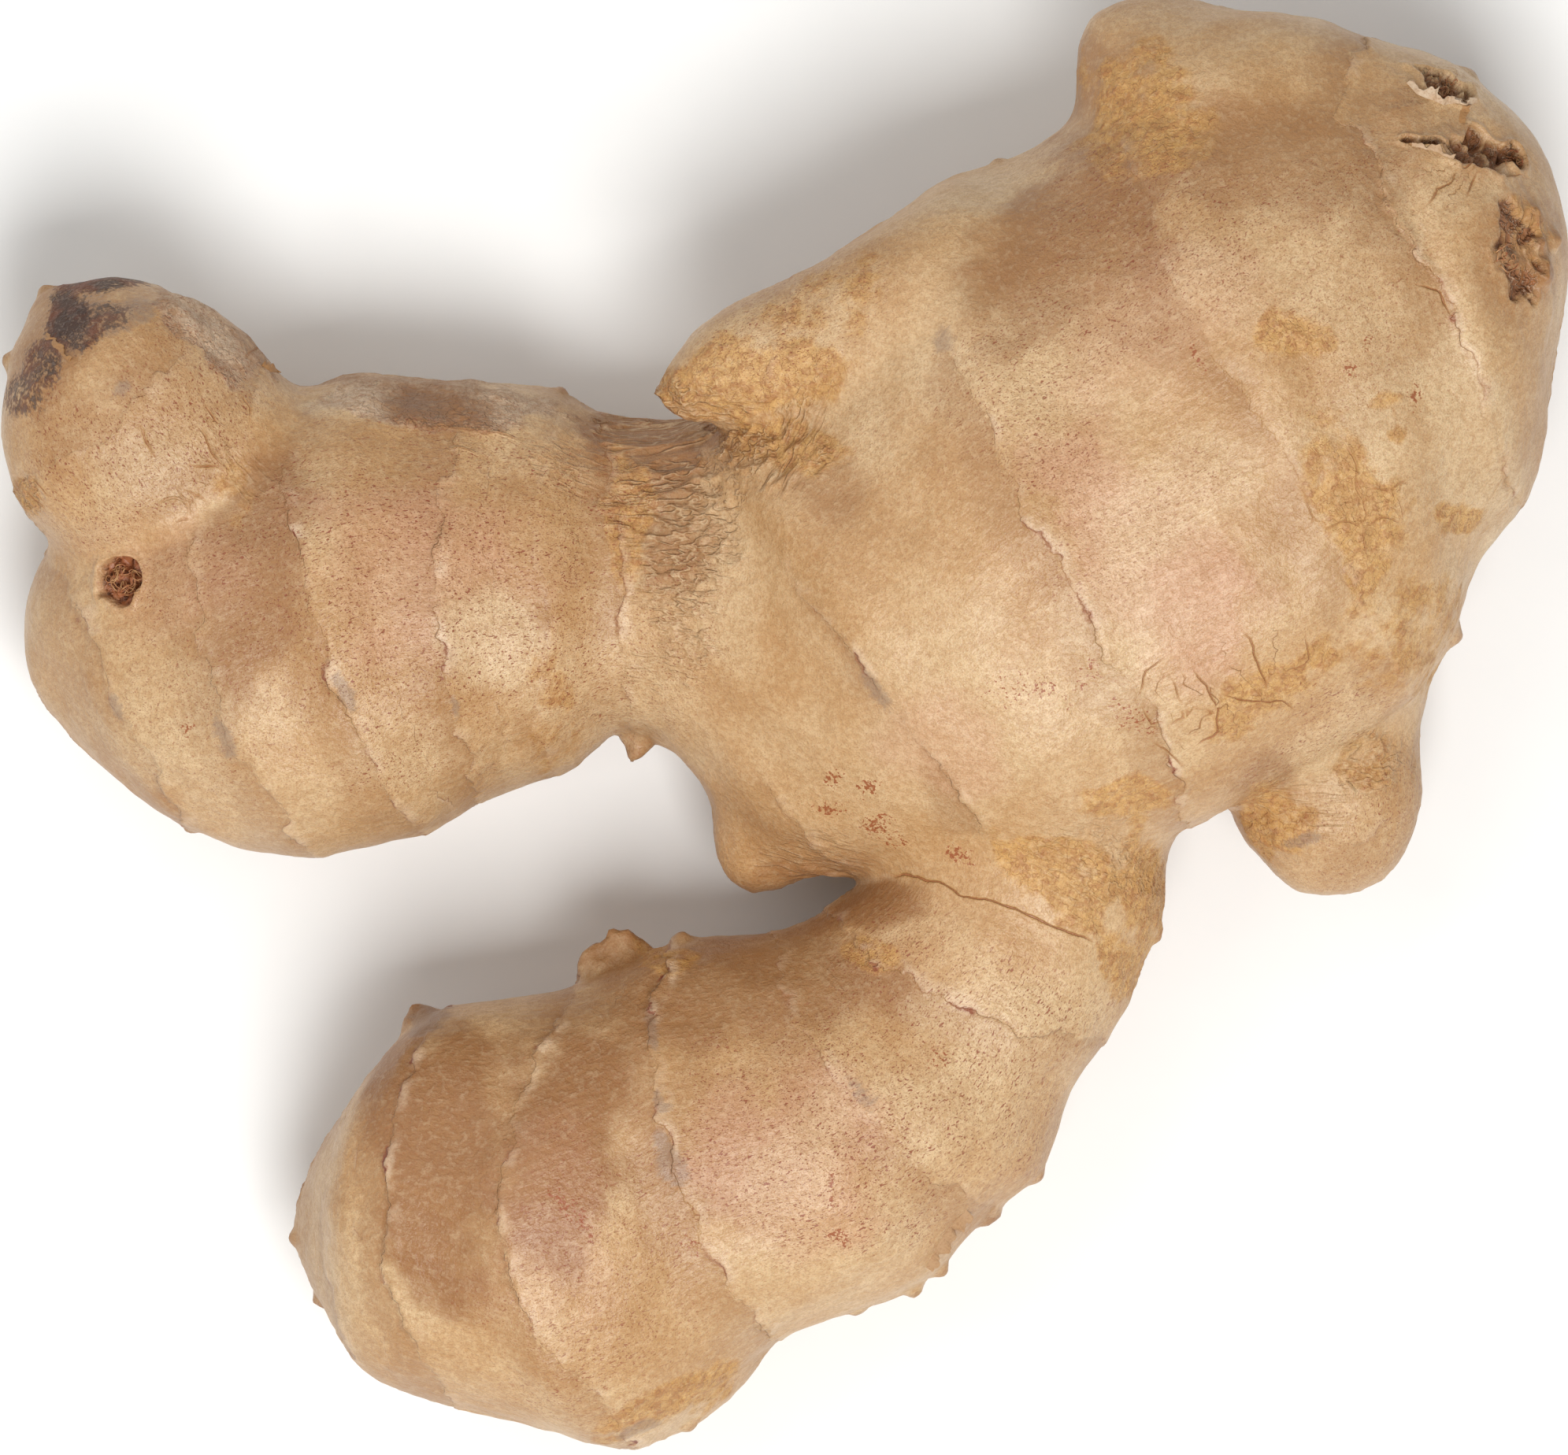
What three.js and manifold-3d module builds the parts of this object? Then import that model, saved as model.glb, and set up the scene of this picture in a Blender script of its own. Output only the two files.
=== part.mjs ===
// A hand of fresh ginger root, lying on its underside. A thick mother rhizome carries two long fingers,
// a knob, a side bud, a crown bud and a short stub, all grown together in one body.
// Millimetres, +Z up, origin on the table under the middle of the plan.

import * as THREE from "three";
import { LoftGeometry } from "three/addons/geometries/LoftGeometry.js";
import { mergeVertices } from "three/addons/utils/BufferGeometryUtils.js";
import Module from "manifold-3d";

const wasm = await Module();
wasm.setup();

// ---- Driving dimensions, in millimetres --------------------------------------------------------------

const SKIN_COLOUR = 0xc9a173;
const SKIN_ROUGHNESS = 0.55;

const ROW_SPACING = 5.6; // between plain cross-sections along a lobe
const SIDE_SPACING = 4.3; // between points round a cross-section at its widest
const FULLNESS = 0.93; // below 1, a cross-section is a little squarer than an ellipse
const UNEVENNESS = 0.018; // how far the height of a cross-section wavers, as a share of it
const UNEVEN_TURNS = 3; // swellings in a full turn
const UNEVEN_TWIST = 1.3; // how far they turn from one section to the next
const UNEVEN_PACE = 1.7; // how fast they swell and fade along the lobe
const UNEVEN_START = 0.8; // where in that they begin

const RING_RISE = 1.1; // a ring scar starts to rise this far behind its rim
const RING_FALL = 0.6; // and has its groove this far before it
const SIDE_RING_SHARE = 0.5; // a ring is this much lower at the edges of the lobe in plan
const GROOVE_SHARE = 0.5; // depth of the groove as a share of the height of the rim
const RING_WAVER = 0.55; // how far a ring wanders along the lobe
const RING_REACH = 4; // the wander dies out over this length
const RING_WAVES = [
  { share: 0.5, turns: 2, shift: 1.9 }, // turns in a full round, shifted this much from ring to ring
  { share: 0.3, turns: 5, shift: 4.3 },
  { share: 0.2, turns: 9, shift: 2.7 },
];

const TIP_STAGES = [
  { way: 0.62, size: 0.72 }, // how far on its way to the tip, and its share of the end section
  { way: 0.95, size: 0.32 },
];

const NUB_SIDES = 6; // round a nub or a root scar
const NUB_SINK = 2.2; // depth to which a nub goes in
const NUB_FOOT = { radius: 1.1, depth: 1.3 }; // widest place of a nub: a share of its radius, and the depth
const NUB_SHOULDER = { radius: 0.8, height: 0.75 }; // as shares of the radius and the height
const ROOT_RADIUS = 1.6; // of the scar that a root leaves
const ROOT_SINK = 1.3; // depth to which it goes in
const ROOT_FOOT = 0.45; // depth of its widest place
const ROOT_CREST = { outer: 0.8, inner: 0.5 }; // edges of its rim, as shares of the radius
const ROOT_RIM = 0.45; // height of its rim
const ROOT_DIP = 0.1; // height of its middle, inside the rim
const SEARCH_REACH = 8; // a growth looks for the skin from this far outside it
const TOP_SEARCH = 40; // height above the whole hand

const TABLE_SIZE = 200;

// ---- Cross-sections of the lobes ---------------------------------------------------------------------

/**
 * One cross-section: its left and right edges in plan, seen along the growth, the heights of its
 * underside and its top, how far the top leans to the tip, as a tangent, and the height of its ring scar.
 */
const section = (left, right, low, high, lean = 0, ring = 0) => ({ left, right, low, high, lean, ring });

const MOTHER = {
  ringFacing: -1, // the rims look back to the base
  sections: [
    section([-4.7, -11.4], [-2.2, -13.5], 9.4, 12.7),
    section([-5.5, -8.8], [-0.2, -13.3], 8.5, 14.5),
    section([-5.2, -6.4], [1.5, -12.4], 8, 16),
    section([-7.3, -3.2], [3, -11.8], 7, 18.5),
    section([-9, 3], [4.9, -11.8], 4.8, 22.6, 0, 0.45),
    section([-6, 13.5], [11.3, -12.2], 2.6, 28.4),
    section([-5.6, 23.1], [18.5, -12], 1, 33.4, 0, 0.5),
    section([2.2, 32.6], [25.3, -11.2], 0.5, 35.8, -0.08),
    section([12.1, 42.9], [31.9, -8.2], 0.2, 37.3, -0.15, 0.5),
    section([18.6, 45.3], [40.3, -4], -0.1, 36.9, -0.08),
    section([25.7, 50.4], [49.8, 1.7], -0.5, 37.4, 0, 0.4),
    section([35.3, 53.9], [53.3, 7.6], 0.6, 36.4, -0.03),
    section([41.7, 55], [54.5, 11.8], 1.9, 34.8, -0.05),
    section([47.3, 54.5], [58.8, 17.2], 3.1, 33.3, -0.07, 0.9),
    section([51.7, 53.6], [60.4, 22.8], 4.8, 31.2),
    section([55.2, 51.2], [61.1, 28.9], 7, 28.6),
    section([59.2, 47.3], [61.7, 32.1], 9.5, 25.3),
    section([61.1, 43.2], [61.9, 34.5], 12.1, 21.9),
  ],
  start: [-3.2, -13.2, 11],
  tip: [62.2, 38, 17],
};

const LEFT_FINGER = {
  sections: [
    section([10.5, -8], [9.5, 27], 5, 33),
    section([-0.5, -5.8], [-1.5, 25.6], 3.8, 28.8),
    section([-7.5, -2.2], [-8.2, 24.7], 2.6, 25.4),
    section([-12.4, 0], [-14.3, 24.9], 2, 23.8, 0, 0.55),
    section([-18.1, -3.8], [-17.5, 26.5], 0.8, 26.3, 0.13, 0.4),
    section([-21.3, -4.8], [-21.3, 27.2], 0.5, 27.3, 0.16),
    section([-24.2, -6.2], [-25.2, 27.5], 0.2, 28.4, 0.2, 0.6),
    section([-26.2, -7.2], [-32.3, 28.6], -0.3, 29.5, 0.22),
    section([-28.4, -8.4], [-39.2, 26.9], -0.5, 29.7, 0.23, 0.6),
    section([-32.8, -9.4], [-44.4, 25.2], -0.2, 28.9, 0.2),
    section([-37.3, -10.2], [-50.3, 22.8], 0.4, 27.7, 0.15, 0.6),
    section([-43, -9.8], [-55.4, 18.3], 1.4, 25.2, 0.15),
    section([-47.8, -8.2], [-58.2, 14.3], 2.9, 22.3, 0.17, 0.5),
    section([-52.2, -5.1], [-60.1, 11.2], 5, 19.4, 0.1),
    section([-55.6, -2.3], [-60.9, 8.2], 7.2, 16.8),
    section([-58.4, 0.4], [-60.7, 5.3], 9.6, 14.4),
  ],
  tip: [-60.3, 3.4, 12],
};

const KNOB = {
  sections: [
    section([-46.6, 7.8], [-32.2, 17.8], 9, 23),
    section([-52.8, 11.2], [-36, 22.8], 8.2, 26.2),
    section([-57.5, 14.2], [-39, 27], 7.9, 28.6, 0, 0.5),
    section([-60.8, 17.6], [-41.7, 29.8], 8.1, 29.5),
    section([-62, 21.5], [-44.5, 32.9], 9.1, 28.7),
    section([-62, 23.8], [-47.1, 33.9], 10.3, 27.3, 0.1, 0.5),
    section([-61.7, 26.5], [-50.2, 35.4], 11.5, 25.3, 0.05),
    section([-61.3, 29.3], [-53.6, 35.8], 13.2, 22.8),
    section([-60.1, 32], [-56.7, 35.2], 15.4, 19.8),
  ],
  tip: [-59.2, 34.4, 17.6],
};

const LOWER_FINGER = {
  sections: [
    section([32, 0], [13, 5], 7, 28),
    section([30.9, -8], [9.7, -5], 5.2, 27.4),
    section([29.8, -15.6], [7.7, -11.5], 4.6, 25.6, 0, 0.35),
    section([27.6, -20.8], [5.2, -13.3], 4.2, 25.6, 0.12),
    section([25.3, -24.8], [3.7, -14.5], 3.8, 25.6, 0.24, 0.6),
    section([22.6, -29.2], [2.1, -15.3], 3.4, 26, 0.26),
    section([20.7, -35], [0.7, -15.9], 2.2, 27, 0.27),
    section([16.7, -38.6], [-0.7, -16.2], 1.9, 27.4, 0.28, 0.6),
    section([12.7, -43.4], [-4.6, -16.6], 0.8, 28.6, 0.3),
    section([6.6, -46], [-7.1, -16.8], 0.6, 28.6, 0.32),
    section([-0.1, -48.9], [-9.1, -17.3], 0.3, 28.6, 0.34, 0.6),
    section([-5.8, -54.3], [-12.4, -19.2], -0.3, 29.6, 0.42),
    section([-11.7, -57.5], [-16.3, -20.8], -0.5, 29.7, 0.5, 0.6),
    section([-18.5, -55.9], [-21.6, -21.2], 0.1, 28.5, 0.46),
    section([-26.2, -54], [-26.5, -22.2], 0.9, 27.1, 0.4, 0.6),
    section([-31.2, -52.6], [-30.7, -25], 1.8, 25.4, 0.3),
    section([-34.5, -49.2], [-34.1, -29.5], 4.4, 22, 0.2, 0.4),
    section([-36.9, -45.7], [-36.8, -32.9], 7.1, 18.7, 0.1),
    section([-38.2, -42.8], [-38.2, -36.7], 9.6, 15.6),
  ],
  tip: [-39, -40.3, 12.6],
};

const SIDE_BUD = {
  sections: [
    section([24, 19], [27, 36], 12, 31),
    section([16.2, 18], [20, 42.6], 11, 32.8),
    section([9.5, 19.5], [13.2, 43.4], 10.4, 33),
    section([2.9, 21.8], [6.2, 39.2], 13.2, 31.8),
    section([-2, 23.7], [0.4, 35.6], 17.4, 30.2, 0, 0.25),
    section([-5.8, 24.2], [-4.4, 33.3], 19.4, 28.8),
    section([-8.1, 24.5], [-7.6, 30.6], 20.9, 27.3),
    section([-9.3, 25], [-9.1, 28.2], 22.4, 25.6),
  ],
  tip: [-9.9, 26.4, 24],
};

const CROWN_BUD = {
  sections: [
    section([27, 33], [50, 38], 9, 32.5),
    section([24.2, 44], [51, 48.6], 9.2, 31.8),
    section([23.2, 50], [48.5, 53.8], 10.4, 29.2),
    section([23.2, 53.8], [43, 56.2], 12.4, 26),
    section([24.2, 56.2], [36, 57], 14.6, 22.8),
  ],
  tip: [29, 57.7, 18.6],
};

const STUB = {
  sections: [
    section([55, 14], [29, 15], 4.5, 33),
    section([52.6, 7], [32.5, 4.5], 4.6, 25.5),
    section([51.2, 1.6], [34.8, -1.2], 5, 21.8, 0, 0.3),
    section([51, -2.4], [35.3, -5.2], 5.2, 20.6, 0.05),
    section([50.9, -6.4], [36.1, -7.8], 5.6, 19.6, 0.1, 0.3),
    section([50, -9.5], [37.8, -10.2], 6.5, 18.2, 0.05),
    section([48.1, -11.6], [40, -12.1], 8.2, 16.2),
  ],
  tip: [43.6, -13, 12.2],
};

// ---- Small growths on the skin -----------------------------------------------------------------------

/** A blunt nub: a point near the skin, the side that it points to, its radius and its height. */
const nub = (near, towards, radius, height) => ({ near, towards, radius, height });

const NUBS = [
  nub([-14.5, -19.4, 14], [-0.35, 0.9, 0.3], 2.1, 1.9), // two-lobed stump on the lower finger
  nub([-12.4, -18.8, 14], [-0.2, 0.95, 0.3], 2.1, 2),
  nub([-29, -23.5, 14], [-0.3, 0.9, 0.2], 1.9, 1.2),
  nub([-11.6, -0.5, 13], [-0.3, -0.95, 0], 1.3, 1.8), // root stump under the neck
  nub([4.5, -14, 15], [-0.6, 0.8, 0], 1.2, 1),
  nub([0.8, -16, 15], [-0.2, 1, 0], 0.9, 0.6),
  nub([-8.1, -17, 15], [0, 1, 0], 1.1, 0.7),
  nub([53.8, 51.5, 20], [0.7, 0.7, 0.1], 1.1, 0.5),
  nub([53.4, 7.4, 16], [1, -0.1, 0], 1.2, 0.7),
  nub([29.3, -16.2, 15], [1, -0.2, 0], 1.2, 0.5),
  nub([20.2, -35.8, 14], [0.9, -0.4, 0], 1, 0.6),
  nub([16.2, -38.8, 14], [0.7, -0.7, 0], 1.2, 0.6),
  nub([12.5, -43.3, 14], [0.7, -0.7, 0], 1, 0.6),
  nub([10.3, -44.6, 14], [0.4, -0.9, 0], 1.2, 0.9),
  nub([5.8, -46.2, 14], [0.4, -0.9, 0], 1, 0.5),
  nub([-7.9, -54.8, 14], [0.5, -0.9, 0], 1, 0.5),
  nub([-38.6, -40.7, 13], [-1, 0, 0], 0.9, 0.5),
  nub([-36.9, -45.6, 13], [-0.9, -0.4, 0], 0.9, 0.5),
  nub([-34, -49.6, 13], [-0.8, -0.6, 0], 0.8, 0.4),
  nub([-47.4, -8.2, 12], [-0.4, -0.9, 0], 1, 0.5),
  nub([-58.3, 34.3, 17], [-0.6, 0.8, 0], 0.9, 0.6), // scale stumps at the tip of the knob
  nub([-61, 29, 18], [-1, 0.1, 0], 0.9, 0.6),
  nub([-9.4, 26.6, 24], [-1, 0, 0], 0.8, 0.4),
  nub([-17.8, 26.8, 14], [0, 1, 0], 0.9, 0.4),
  nub([17, 44.8, 19], [-0.4, 0.9, 0], 0.8, 0.5),
  nub([58.4, 35.6, 24], [0.2, 0, 0.9], 1.3, 1.1), // torn stem scar at the far end of the mother
  nub([59.4, 38.4, 24], [0.4, 0, 0.9], 1.1, 0.8),
  nub([57.3, 37.6, 24], [0.4, 0.1, 0.9], 0.9, 0.7),
  nub([58.2, 40.2, 26], [0.3, 0, 0.9], 1, 0.6),
];

/** The ringed scar of a root that has gone: a point near the skin and the side that it faces. */
const rootScar = (near, towards) => ({ near, towards });

const ROOT_SCARS = [
  rootScar([-52.2, 11.6, 18], [0, 0, 1]),
  rootScar([4, 4, 5], [0, -0.2, -1]),
  rootScar([16, -6, 6], [0, -0.5, -0.9]),
  rootScar([13, 26, 5], [0, 0.1, -1]),
  rootScar([27, 40, 7], [-0.2, 0.5, -0.9]),
  rootScar([38, 8, 6], [0.2, -0.3, -1]),
  rootScar([47, 31, 6], [0.2, 0, -1]),
  rootScar([52, 45, 9], [0.2, 0.5, -0.8]),
  rootScar([-22, 20, 6], [0, 0.5, -0.9]),
  rootScar([-20, 2, 5], [0, 0, -1]),
  rootScar([-38, -4, 6], [0, -0.5, -0.9]),
  rootScar([-43, 14, 6], [0, 0.2, -1]),
  rootScar([-52, 3, 9], [-0.4, 0, -0.9]),
  rootScar([17, -24, 7], [0.4, -0.2, -0.9]),
  rootScar([3, -24, 7], [-0.4, 0.4, -0.9]),
  rootScar([-2, -43, 6], [0.4, -0.4, -0.9]),
  rootScar([-20, -30, 5], [-0.1, 0.3, -1]),
  rootScar([-27, -46, 6], [-0.3, -0.4, -0.9]),
];

/** A hollow that is torn or sunk into the skin: where it is, its half-sizes, and its turn in plan. */
const hollow = (at, halfSizes, turn) => ({ at, halfSizes, turn });

const HOLLOWS = [
  hollow([52.4, 50.6], [2, 0.9, 1.3], -20),
  hollow([55.8, 45.8], [3, 1.2, 1.5], -25),
  hollow([58.1, 37.3], [0.9, 2, 1], 10),
];

const LOBES = [MOTHER, LEFT_FINGER, KNOB, LOWER_FINGER, SIDE_BUD, CROWN_BUD, STUB];

// ---- Lofting one lobe --------------------------------------------------------------------------------

const vector = (numbers) => new THREE.Vector3(...numbers);
const planCentre = ({ left, right }) => vector([...left, 0]).add(vector([...right, 0])).divideScalar(2);
const planWidth = ({ left, right }) => Math.hypot(left[0] - right[0], left[1] - right[1]);

/** How far the skin stands proud at a distance along the lobe from a ring scar of some height. */
function ringRelief(distance, height) {
  const groove = -GROOVE_SHARE * height;
  if (distance <= 0) {
    return height * Math.max(0, 1 + distance / RING_RISE);
  }
  if (distance <= RING_FALL) {
    return THREE.MathUtils.mapLinear(distance, 0, RING_FALL, height, groove);
  }
  return groove * Math.max(0, 1 - (distance - RING_FALL) / RING_RISE);
}

/**
 * The rows of a lobe: where each lies, counted in sections, and its distance from the nearest ring.
 * The rims of the rings face the tip of the lobe if facing is 1, and its base if it is -1.
 */
function lobeRows(sections, facing) {
  const before = facing > 0 ? RING_RISE : RING_FALL;
  const after = facing > 0 ? RING_FALL : RING_RISE;
  const rows = [];
  for (let k = 0; k < sections.length - 1; k += 1) {
    const length = planCentre(sections[k]).distanceTo(planCentre(sections[k + 1]));
    const here = sections[k].ring;
    const next = sections[k + 1].ring;
    const offsets = [0];
    const first = here ? after : 0;
    const last = next ? length - before : length;
    const gaps = Math.max(1, Math.round((last - first) / ROW_SPACING));
    for (let gap = here ? 0 : 1; gap < (next ? gaps + 1 : gaps); gap += 1) {
      offsets.push(first + ((last - first) * gap) / gaps);
    }
    for (const offset of offsets) {
      const fromNext = offset - length;
      const nearNext = next && (!here || -fromNext < offset);
      rows.push({
        place: k + offset / length,
        length,
        ring: nearNext ? k + 1 : k,
        distance: facing * (nearNext ? fromNext : offset),
        height: nearNext ? next : here,
      });
    }
  }
  rows.push({ place: sections.length - 1, length: 1, ring: 0, distance: 0, height: 0 });
  return rows;
}

/** Curves along the two edges of a lobe. Their heights are those of its underside and its top. */
function lobeEdges(sections) {
  return {
    left: new THREE.CatmullRomCurve3(sections.map(({ left, low }) => vector([...left, low]))),
    right: new THREE.CatmullRomCurve3(sections.map(({ right, high }) => vector([...right, high]))),
  };
}

/** How far a ring wanders along its lobe at an angle round it. */
function ringWander(angle, ring, distance) {
  const fade = Math.max(0, 1 - Math.abs(distance) / RING_REACH);
  const waves = RING_WAVES.map(({ share, turns, shift }) => share * Math.sin(turns * angle + shift * ring));
  return RING_WAVER * fade * waves.reduce((sum, wave) => sum + wave);
}

/** The point of a lobe's skin in a row at an angle, which starts at the left edge and rises to the top. */
function skinPoint(sections, edges, row, angle) {
  const last = sections.length - 1;
  const wander = row.height ? ringWander(angle, row.ring, row.distance) : 0;
  const place = THREE.MathUtils.clamp(row.place + wander / row.length, 0, last);
  const low = edges.left.getPoint(place / last);
  const high = edges.right.getPoint(place / last);
  const before = Math.min(Math.floor(place), last - 1);
  const lean = THREE.MathUtils.lerp(sections[before].lean, sections[before + 1].lean, place - before);
  const strength = row.height * THREE.MathUtils.lerp(SIDE_RING_SHARE, 1, Math.abs(Math.sin(angle)));
  const relief = ringRelief(row.distance, strength);

  const toLeft = new THREE.Vector3(low.x - high.x, low.y - high.y, 0).divideScalar(2);
  const halfWidth = toLeft.length() + relief;
  const halfHeight = (high.z - low.z) / 2 + relief;
  toLeft.normalize();
  const growth = new THREE.Vector3(toLeft.y, -toLeft.x, 0);
  const centre = low.clone().add(high).divideScalar(2);

  const round = (value) => Math.sign(value) * Math.abs(value) ** FULLNESS;
  const swelling = Math.sin(UNEVEN_TURNS * angle + UNEVEN_TWIST * place);
  const pace = Math.sin(UNEVEN_PACE * place + UNEVEN_START);
  const across = halfWidth * round(Math.cos(angle));
  const up = halfHeight * (1 + UNEVENNESS * swelling * pace) * round(Math.sin(angle));
  return centre
    .addScaledVector(toLeft, across)
    .addScaledVector(growth, lean * up)
    .add(new THREE.Vector3(0, 0, up));
}

/** Ever smaller copies of an end section, which round it off towards a tip. */
function tipSections(end, tip) {
  const centre = new THREE.Box3().setFromPoints(end).getCenter(new THREE.Vector3());
  return TIP_STAGES.map(({ way, size }) => {
    const middle = centre.clone().lerp(tip, way);
    return end.map((point) => point.clone().sub(centre).multiplyScalar(size).add(middle));
  });
}

function lobeGeometry({ sections, ringFacing = 1, start, tip }) {
  const edges = lobeEdges(sections);
  const widest = Math.max(...sections.map(planWidth));
  const sides = 2 * Math.round((Math.PI * widest) / SIDE_SPACING / 2);
  const angles = Array.from({ length: sides }, (_, side) => (2 * Math.PI * side) / sides);
  const loops = lobeRows(sections, ringFacing).map((row) =>
    angles.map((angle) => skinPoint(sections, edges, row, angle)),
  );
  if (start) {
    loops.unshift(...tipSections(loops[0], vector(start)).reverse());
  }
  loops.push(...tipSections(loops.at(-1), vector(tip)));
  return new LoftGeometry(loops, { closed: true, capStart: true, capEnd: true });
}

// ---- Solids ------------------------------------------------------------------------------------------

/** A closed geometry as a solid that can be joined and cut. */
function toSolid(geometry) {
  const bare = new THREE.BufferGeometry();
  bare.setAttribute("position", geometry.attributes.position);
  bare.setIndex(geometry.index);
  const merged = mergeVertices(bare);
  const mesh = new wasm.Mesh({
    numProp: 3,
    vertProperties: new Float32Array(merged.attributes.position.array),
    triVerts: new Uint32Array(merged.index.array),
  });
  return new wasm.Manifold(mesh);
}

function toGeometry(solid) {
  const mesh = solid.getMesh();
  const geometry = new THREE.BufferGeometry();
  geometry.setAttribute("position", new THREE.BufferAttribute(mesh.vertProperties, 3));
  geometry.setIndex(new THREE.BufferAttribute(mesh.triVerts, 1));
  return geometry;
}

const joined = (solids) => solids.reduce((all, solid) => all.add(solid));

/** A turned shape from its profile of distances from the axis and heights, with its axis along +Z. */
function turned(profile) {
  const points = profile.map((point) => new THREE.Vector2(...point));
  return new THREE.LatheGeometry(points, NUB_SIDES).rotateX(Math.PI / 2);
}

/** Stands a shape whose axis is +Z on a point, with its axis along a direction. */
function stoodOn(shape, point, direction) {
  const turn = new THREE.Quaternion().setFromUnitVectors(new THREE.Vector3(0, 0, 1), direction);
  return shape.applyQuaternion(turn).translate(...point);
}

/** Where a ray that comes in from one side meets the skin of a body, and which way the skin faces. */
function skinHit(body, near, from) {
  const start = near.clone().addScaledVector(from, SEARCH_REACH);
  const [hit] = new THREE.Raycaster(start, from.clone().negate()).intersectObject(body);
  return hit;
}

function nubSolid(body, { near, towards, radius, height }) {
  const from = vector(towards).normalize();
  const { point, face } = skinHit(body, vector(near), from);
  const axis = from.add(face.normal).normalize();
  const shape = turned([
    [0, -NUB_SINK],
    [NUB_FOOT.radius * radius, -NUB_FOOT.depth],
    [NUB_SHOULDER.radius * radius, NUB_SHOULDER.height * height],
    [0, height],
  ]);
  return toSolid(stoodOn(shape, point, axis));
}

function rootScarSolid(body, { near, towards }) {
  const { point, face } = skinHit(body, vector(near), vector(towards).normalize());
  const shape = turned([
    [0, -ROOT_SINK],
    [ROOT_RADIUS, -ROOT_FOOT],
    [ROOT_CREST.outer * ROOT_RADIUS, ROOT_RIM],
    [ROOT_CREST.inner * ROOT_RADIUS, ROOT_RIM],
    [0, ROOT_DIP],
  ]);
  return toSolid(stoodOn(shape, point, face.normal));
}

function hollowSolid(body, { at, halfSizes, turn }) {
  const { point } = skinHit(body, vector([...at, TOP_SEARCH]), new THREE.Vector3(0, 0, 1));
  const shape = new THREE.SphereGeometry(1, 2 * NUB_SIDES, NUB_SIDES);
  shape.scale(...halfSizes).rotateZ(THREE.MathUtils.degToRad(turn));
  return toSolid(shape.translate(...point));
}

/** Everything below the table, as one block. */
function tableBlock() {
  const block = new THREE.BoxGeometry(TABLE_SIZE, TABLE_SIZE, TABLE_SIZE);
  return toSolid(block.translate(0, 0, -TABLE_SIZE / 2));
}

function handGeometry() {
  const lobes = joined(LOBES.map((lobe) => toSolid(lobeGeometry(lobe))));
  const body = new THREE.Mesh(toGeometry(lobes));
  const nubs = NUBS.map((growth) => nubSolid(body, growth));
  const scars = ROOT_SCARS.map((scar) => rootScarSolid(body, scar));
  const hollows = joined(HOLLOWS.map((sunk) => hollowSolid(body, sunk)));
  const hand = joined([lobes, ...nubs, ...scars]).subtract(hollows).subtract(tableBlock());

  const geometry = toGeometry(hand);
  const plan = new THREE.Box3().setFromBufferAttribute(geometry.attributes.position);
  const middle = plan.getCenter(new THREE.Vector3());
  geometry.translate(-middle.x, -middle.y, 0);
  geometry.computeVertexNormals();
  return geometry;
}

const skin = new THREE.MeshStandardMaterial({
  name: "ginger skin",
  color: SKIN_COLOUR,
  roughness: SKIN_ROUGHNESS,
  metalness: 0,
});

const rhizome = new THREE.Mesh(handGeometry(), skin);
rhizome.name = "ginger_rhizome";

const ginger = new THREE.Group();
ginger.name = "ginger_root";
ginger.add(rhizome);

export default ginger;
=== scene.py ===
"""The finish of a hand of fresh ginger root: its skin, husks and root fibres, and the table it lies on."""

import math
import random
from functools import partial, reduce
from typing import NamedTuple

import bmesh
import bpy
import numpy as np
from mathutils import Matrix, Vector, noise
from mathutils.bvhtree import BVHTree


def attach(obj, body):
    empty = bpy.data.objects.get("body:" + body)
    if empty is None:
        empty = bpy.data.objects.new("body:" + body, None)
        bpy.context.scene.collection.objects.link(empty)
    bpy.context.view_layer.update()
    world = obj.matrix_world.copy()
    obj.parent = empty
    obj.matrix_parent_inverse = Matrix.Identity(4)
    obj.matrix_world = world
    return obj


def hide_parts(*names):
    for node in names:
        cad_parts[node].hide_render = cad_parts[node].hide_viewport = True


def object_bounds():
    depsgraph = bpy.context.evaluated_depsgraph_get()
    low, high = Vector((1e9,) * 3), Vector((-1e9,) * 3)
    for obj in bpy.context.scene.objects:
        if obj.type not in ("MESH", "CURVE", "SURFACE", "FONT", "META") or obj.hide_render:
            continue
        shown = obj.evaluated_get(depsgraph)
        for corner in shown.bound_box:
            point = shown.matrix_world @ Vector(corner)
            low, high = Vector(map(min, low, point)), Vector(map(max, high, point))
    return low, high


bl_info = {
    "name": "Ginger Hand",
    "version": (1, 0, 0),
    "blender": (4, 5, 0),
    "location": "3D View > Sidebar > Ginger",
    "description": "Grows the skin, husks and root fibres of a hand of ginger on its solid form",
    "category": "Object",
}

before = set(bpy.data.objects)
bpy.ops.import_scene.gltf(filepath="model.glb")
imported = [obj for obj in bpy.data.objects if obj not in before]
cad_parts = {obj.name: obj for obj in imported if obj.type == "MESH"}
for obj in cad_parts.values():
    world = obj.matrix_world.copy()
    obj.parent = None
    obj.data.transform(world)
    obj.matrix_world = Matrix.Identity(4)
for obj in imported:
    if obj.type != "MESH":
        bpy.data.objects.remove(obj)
CAD_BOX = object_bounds()

MM = 0.001
NODE = "ginger_rhizome"
EYE_HEIGHT = 968  # of the camera above the table, mm
EYE_PLANE = 18  # marks are given where they show in the plane at this height, mm

# ---- Lobes, in millimetres ---------------------------------------------------------------------------


class Section(NamedTuple):
    """A cross-section: its left and right edge in plan, seen along the growth, and its low and high point."""

    left: tuple
    right: tuple
    low: float
    high: float
    lean: float = 0.0


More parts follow.
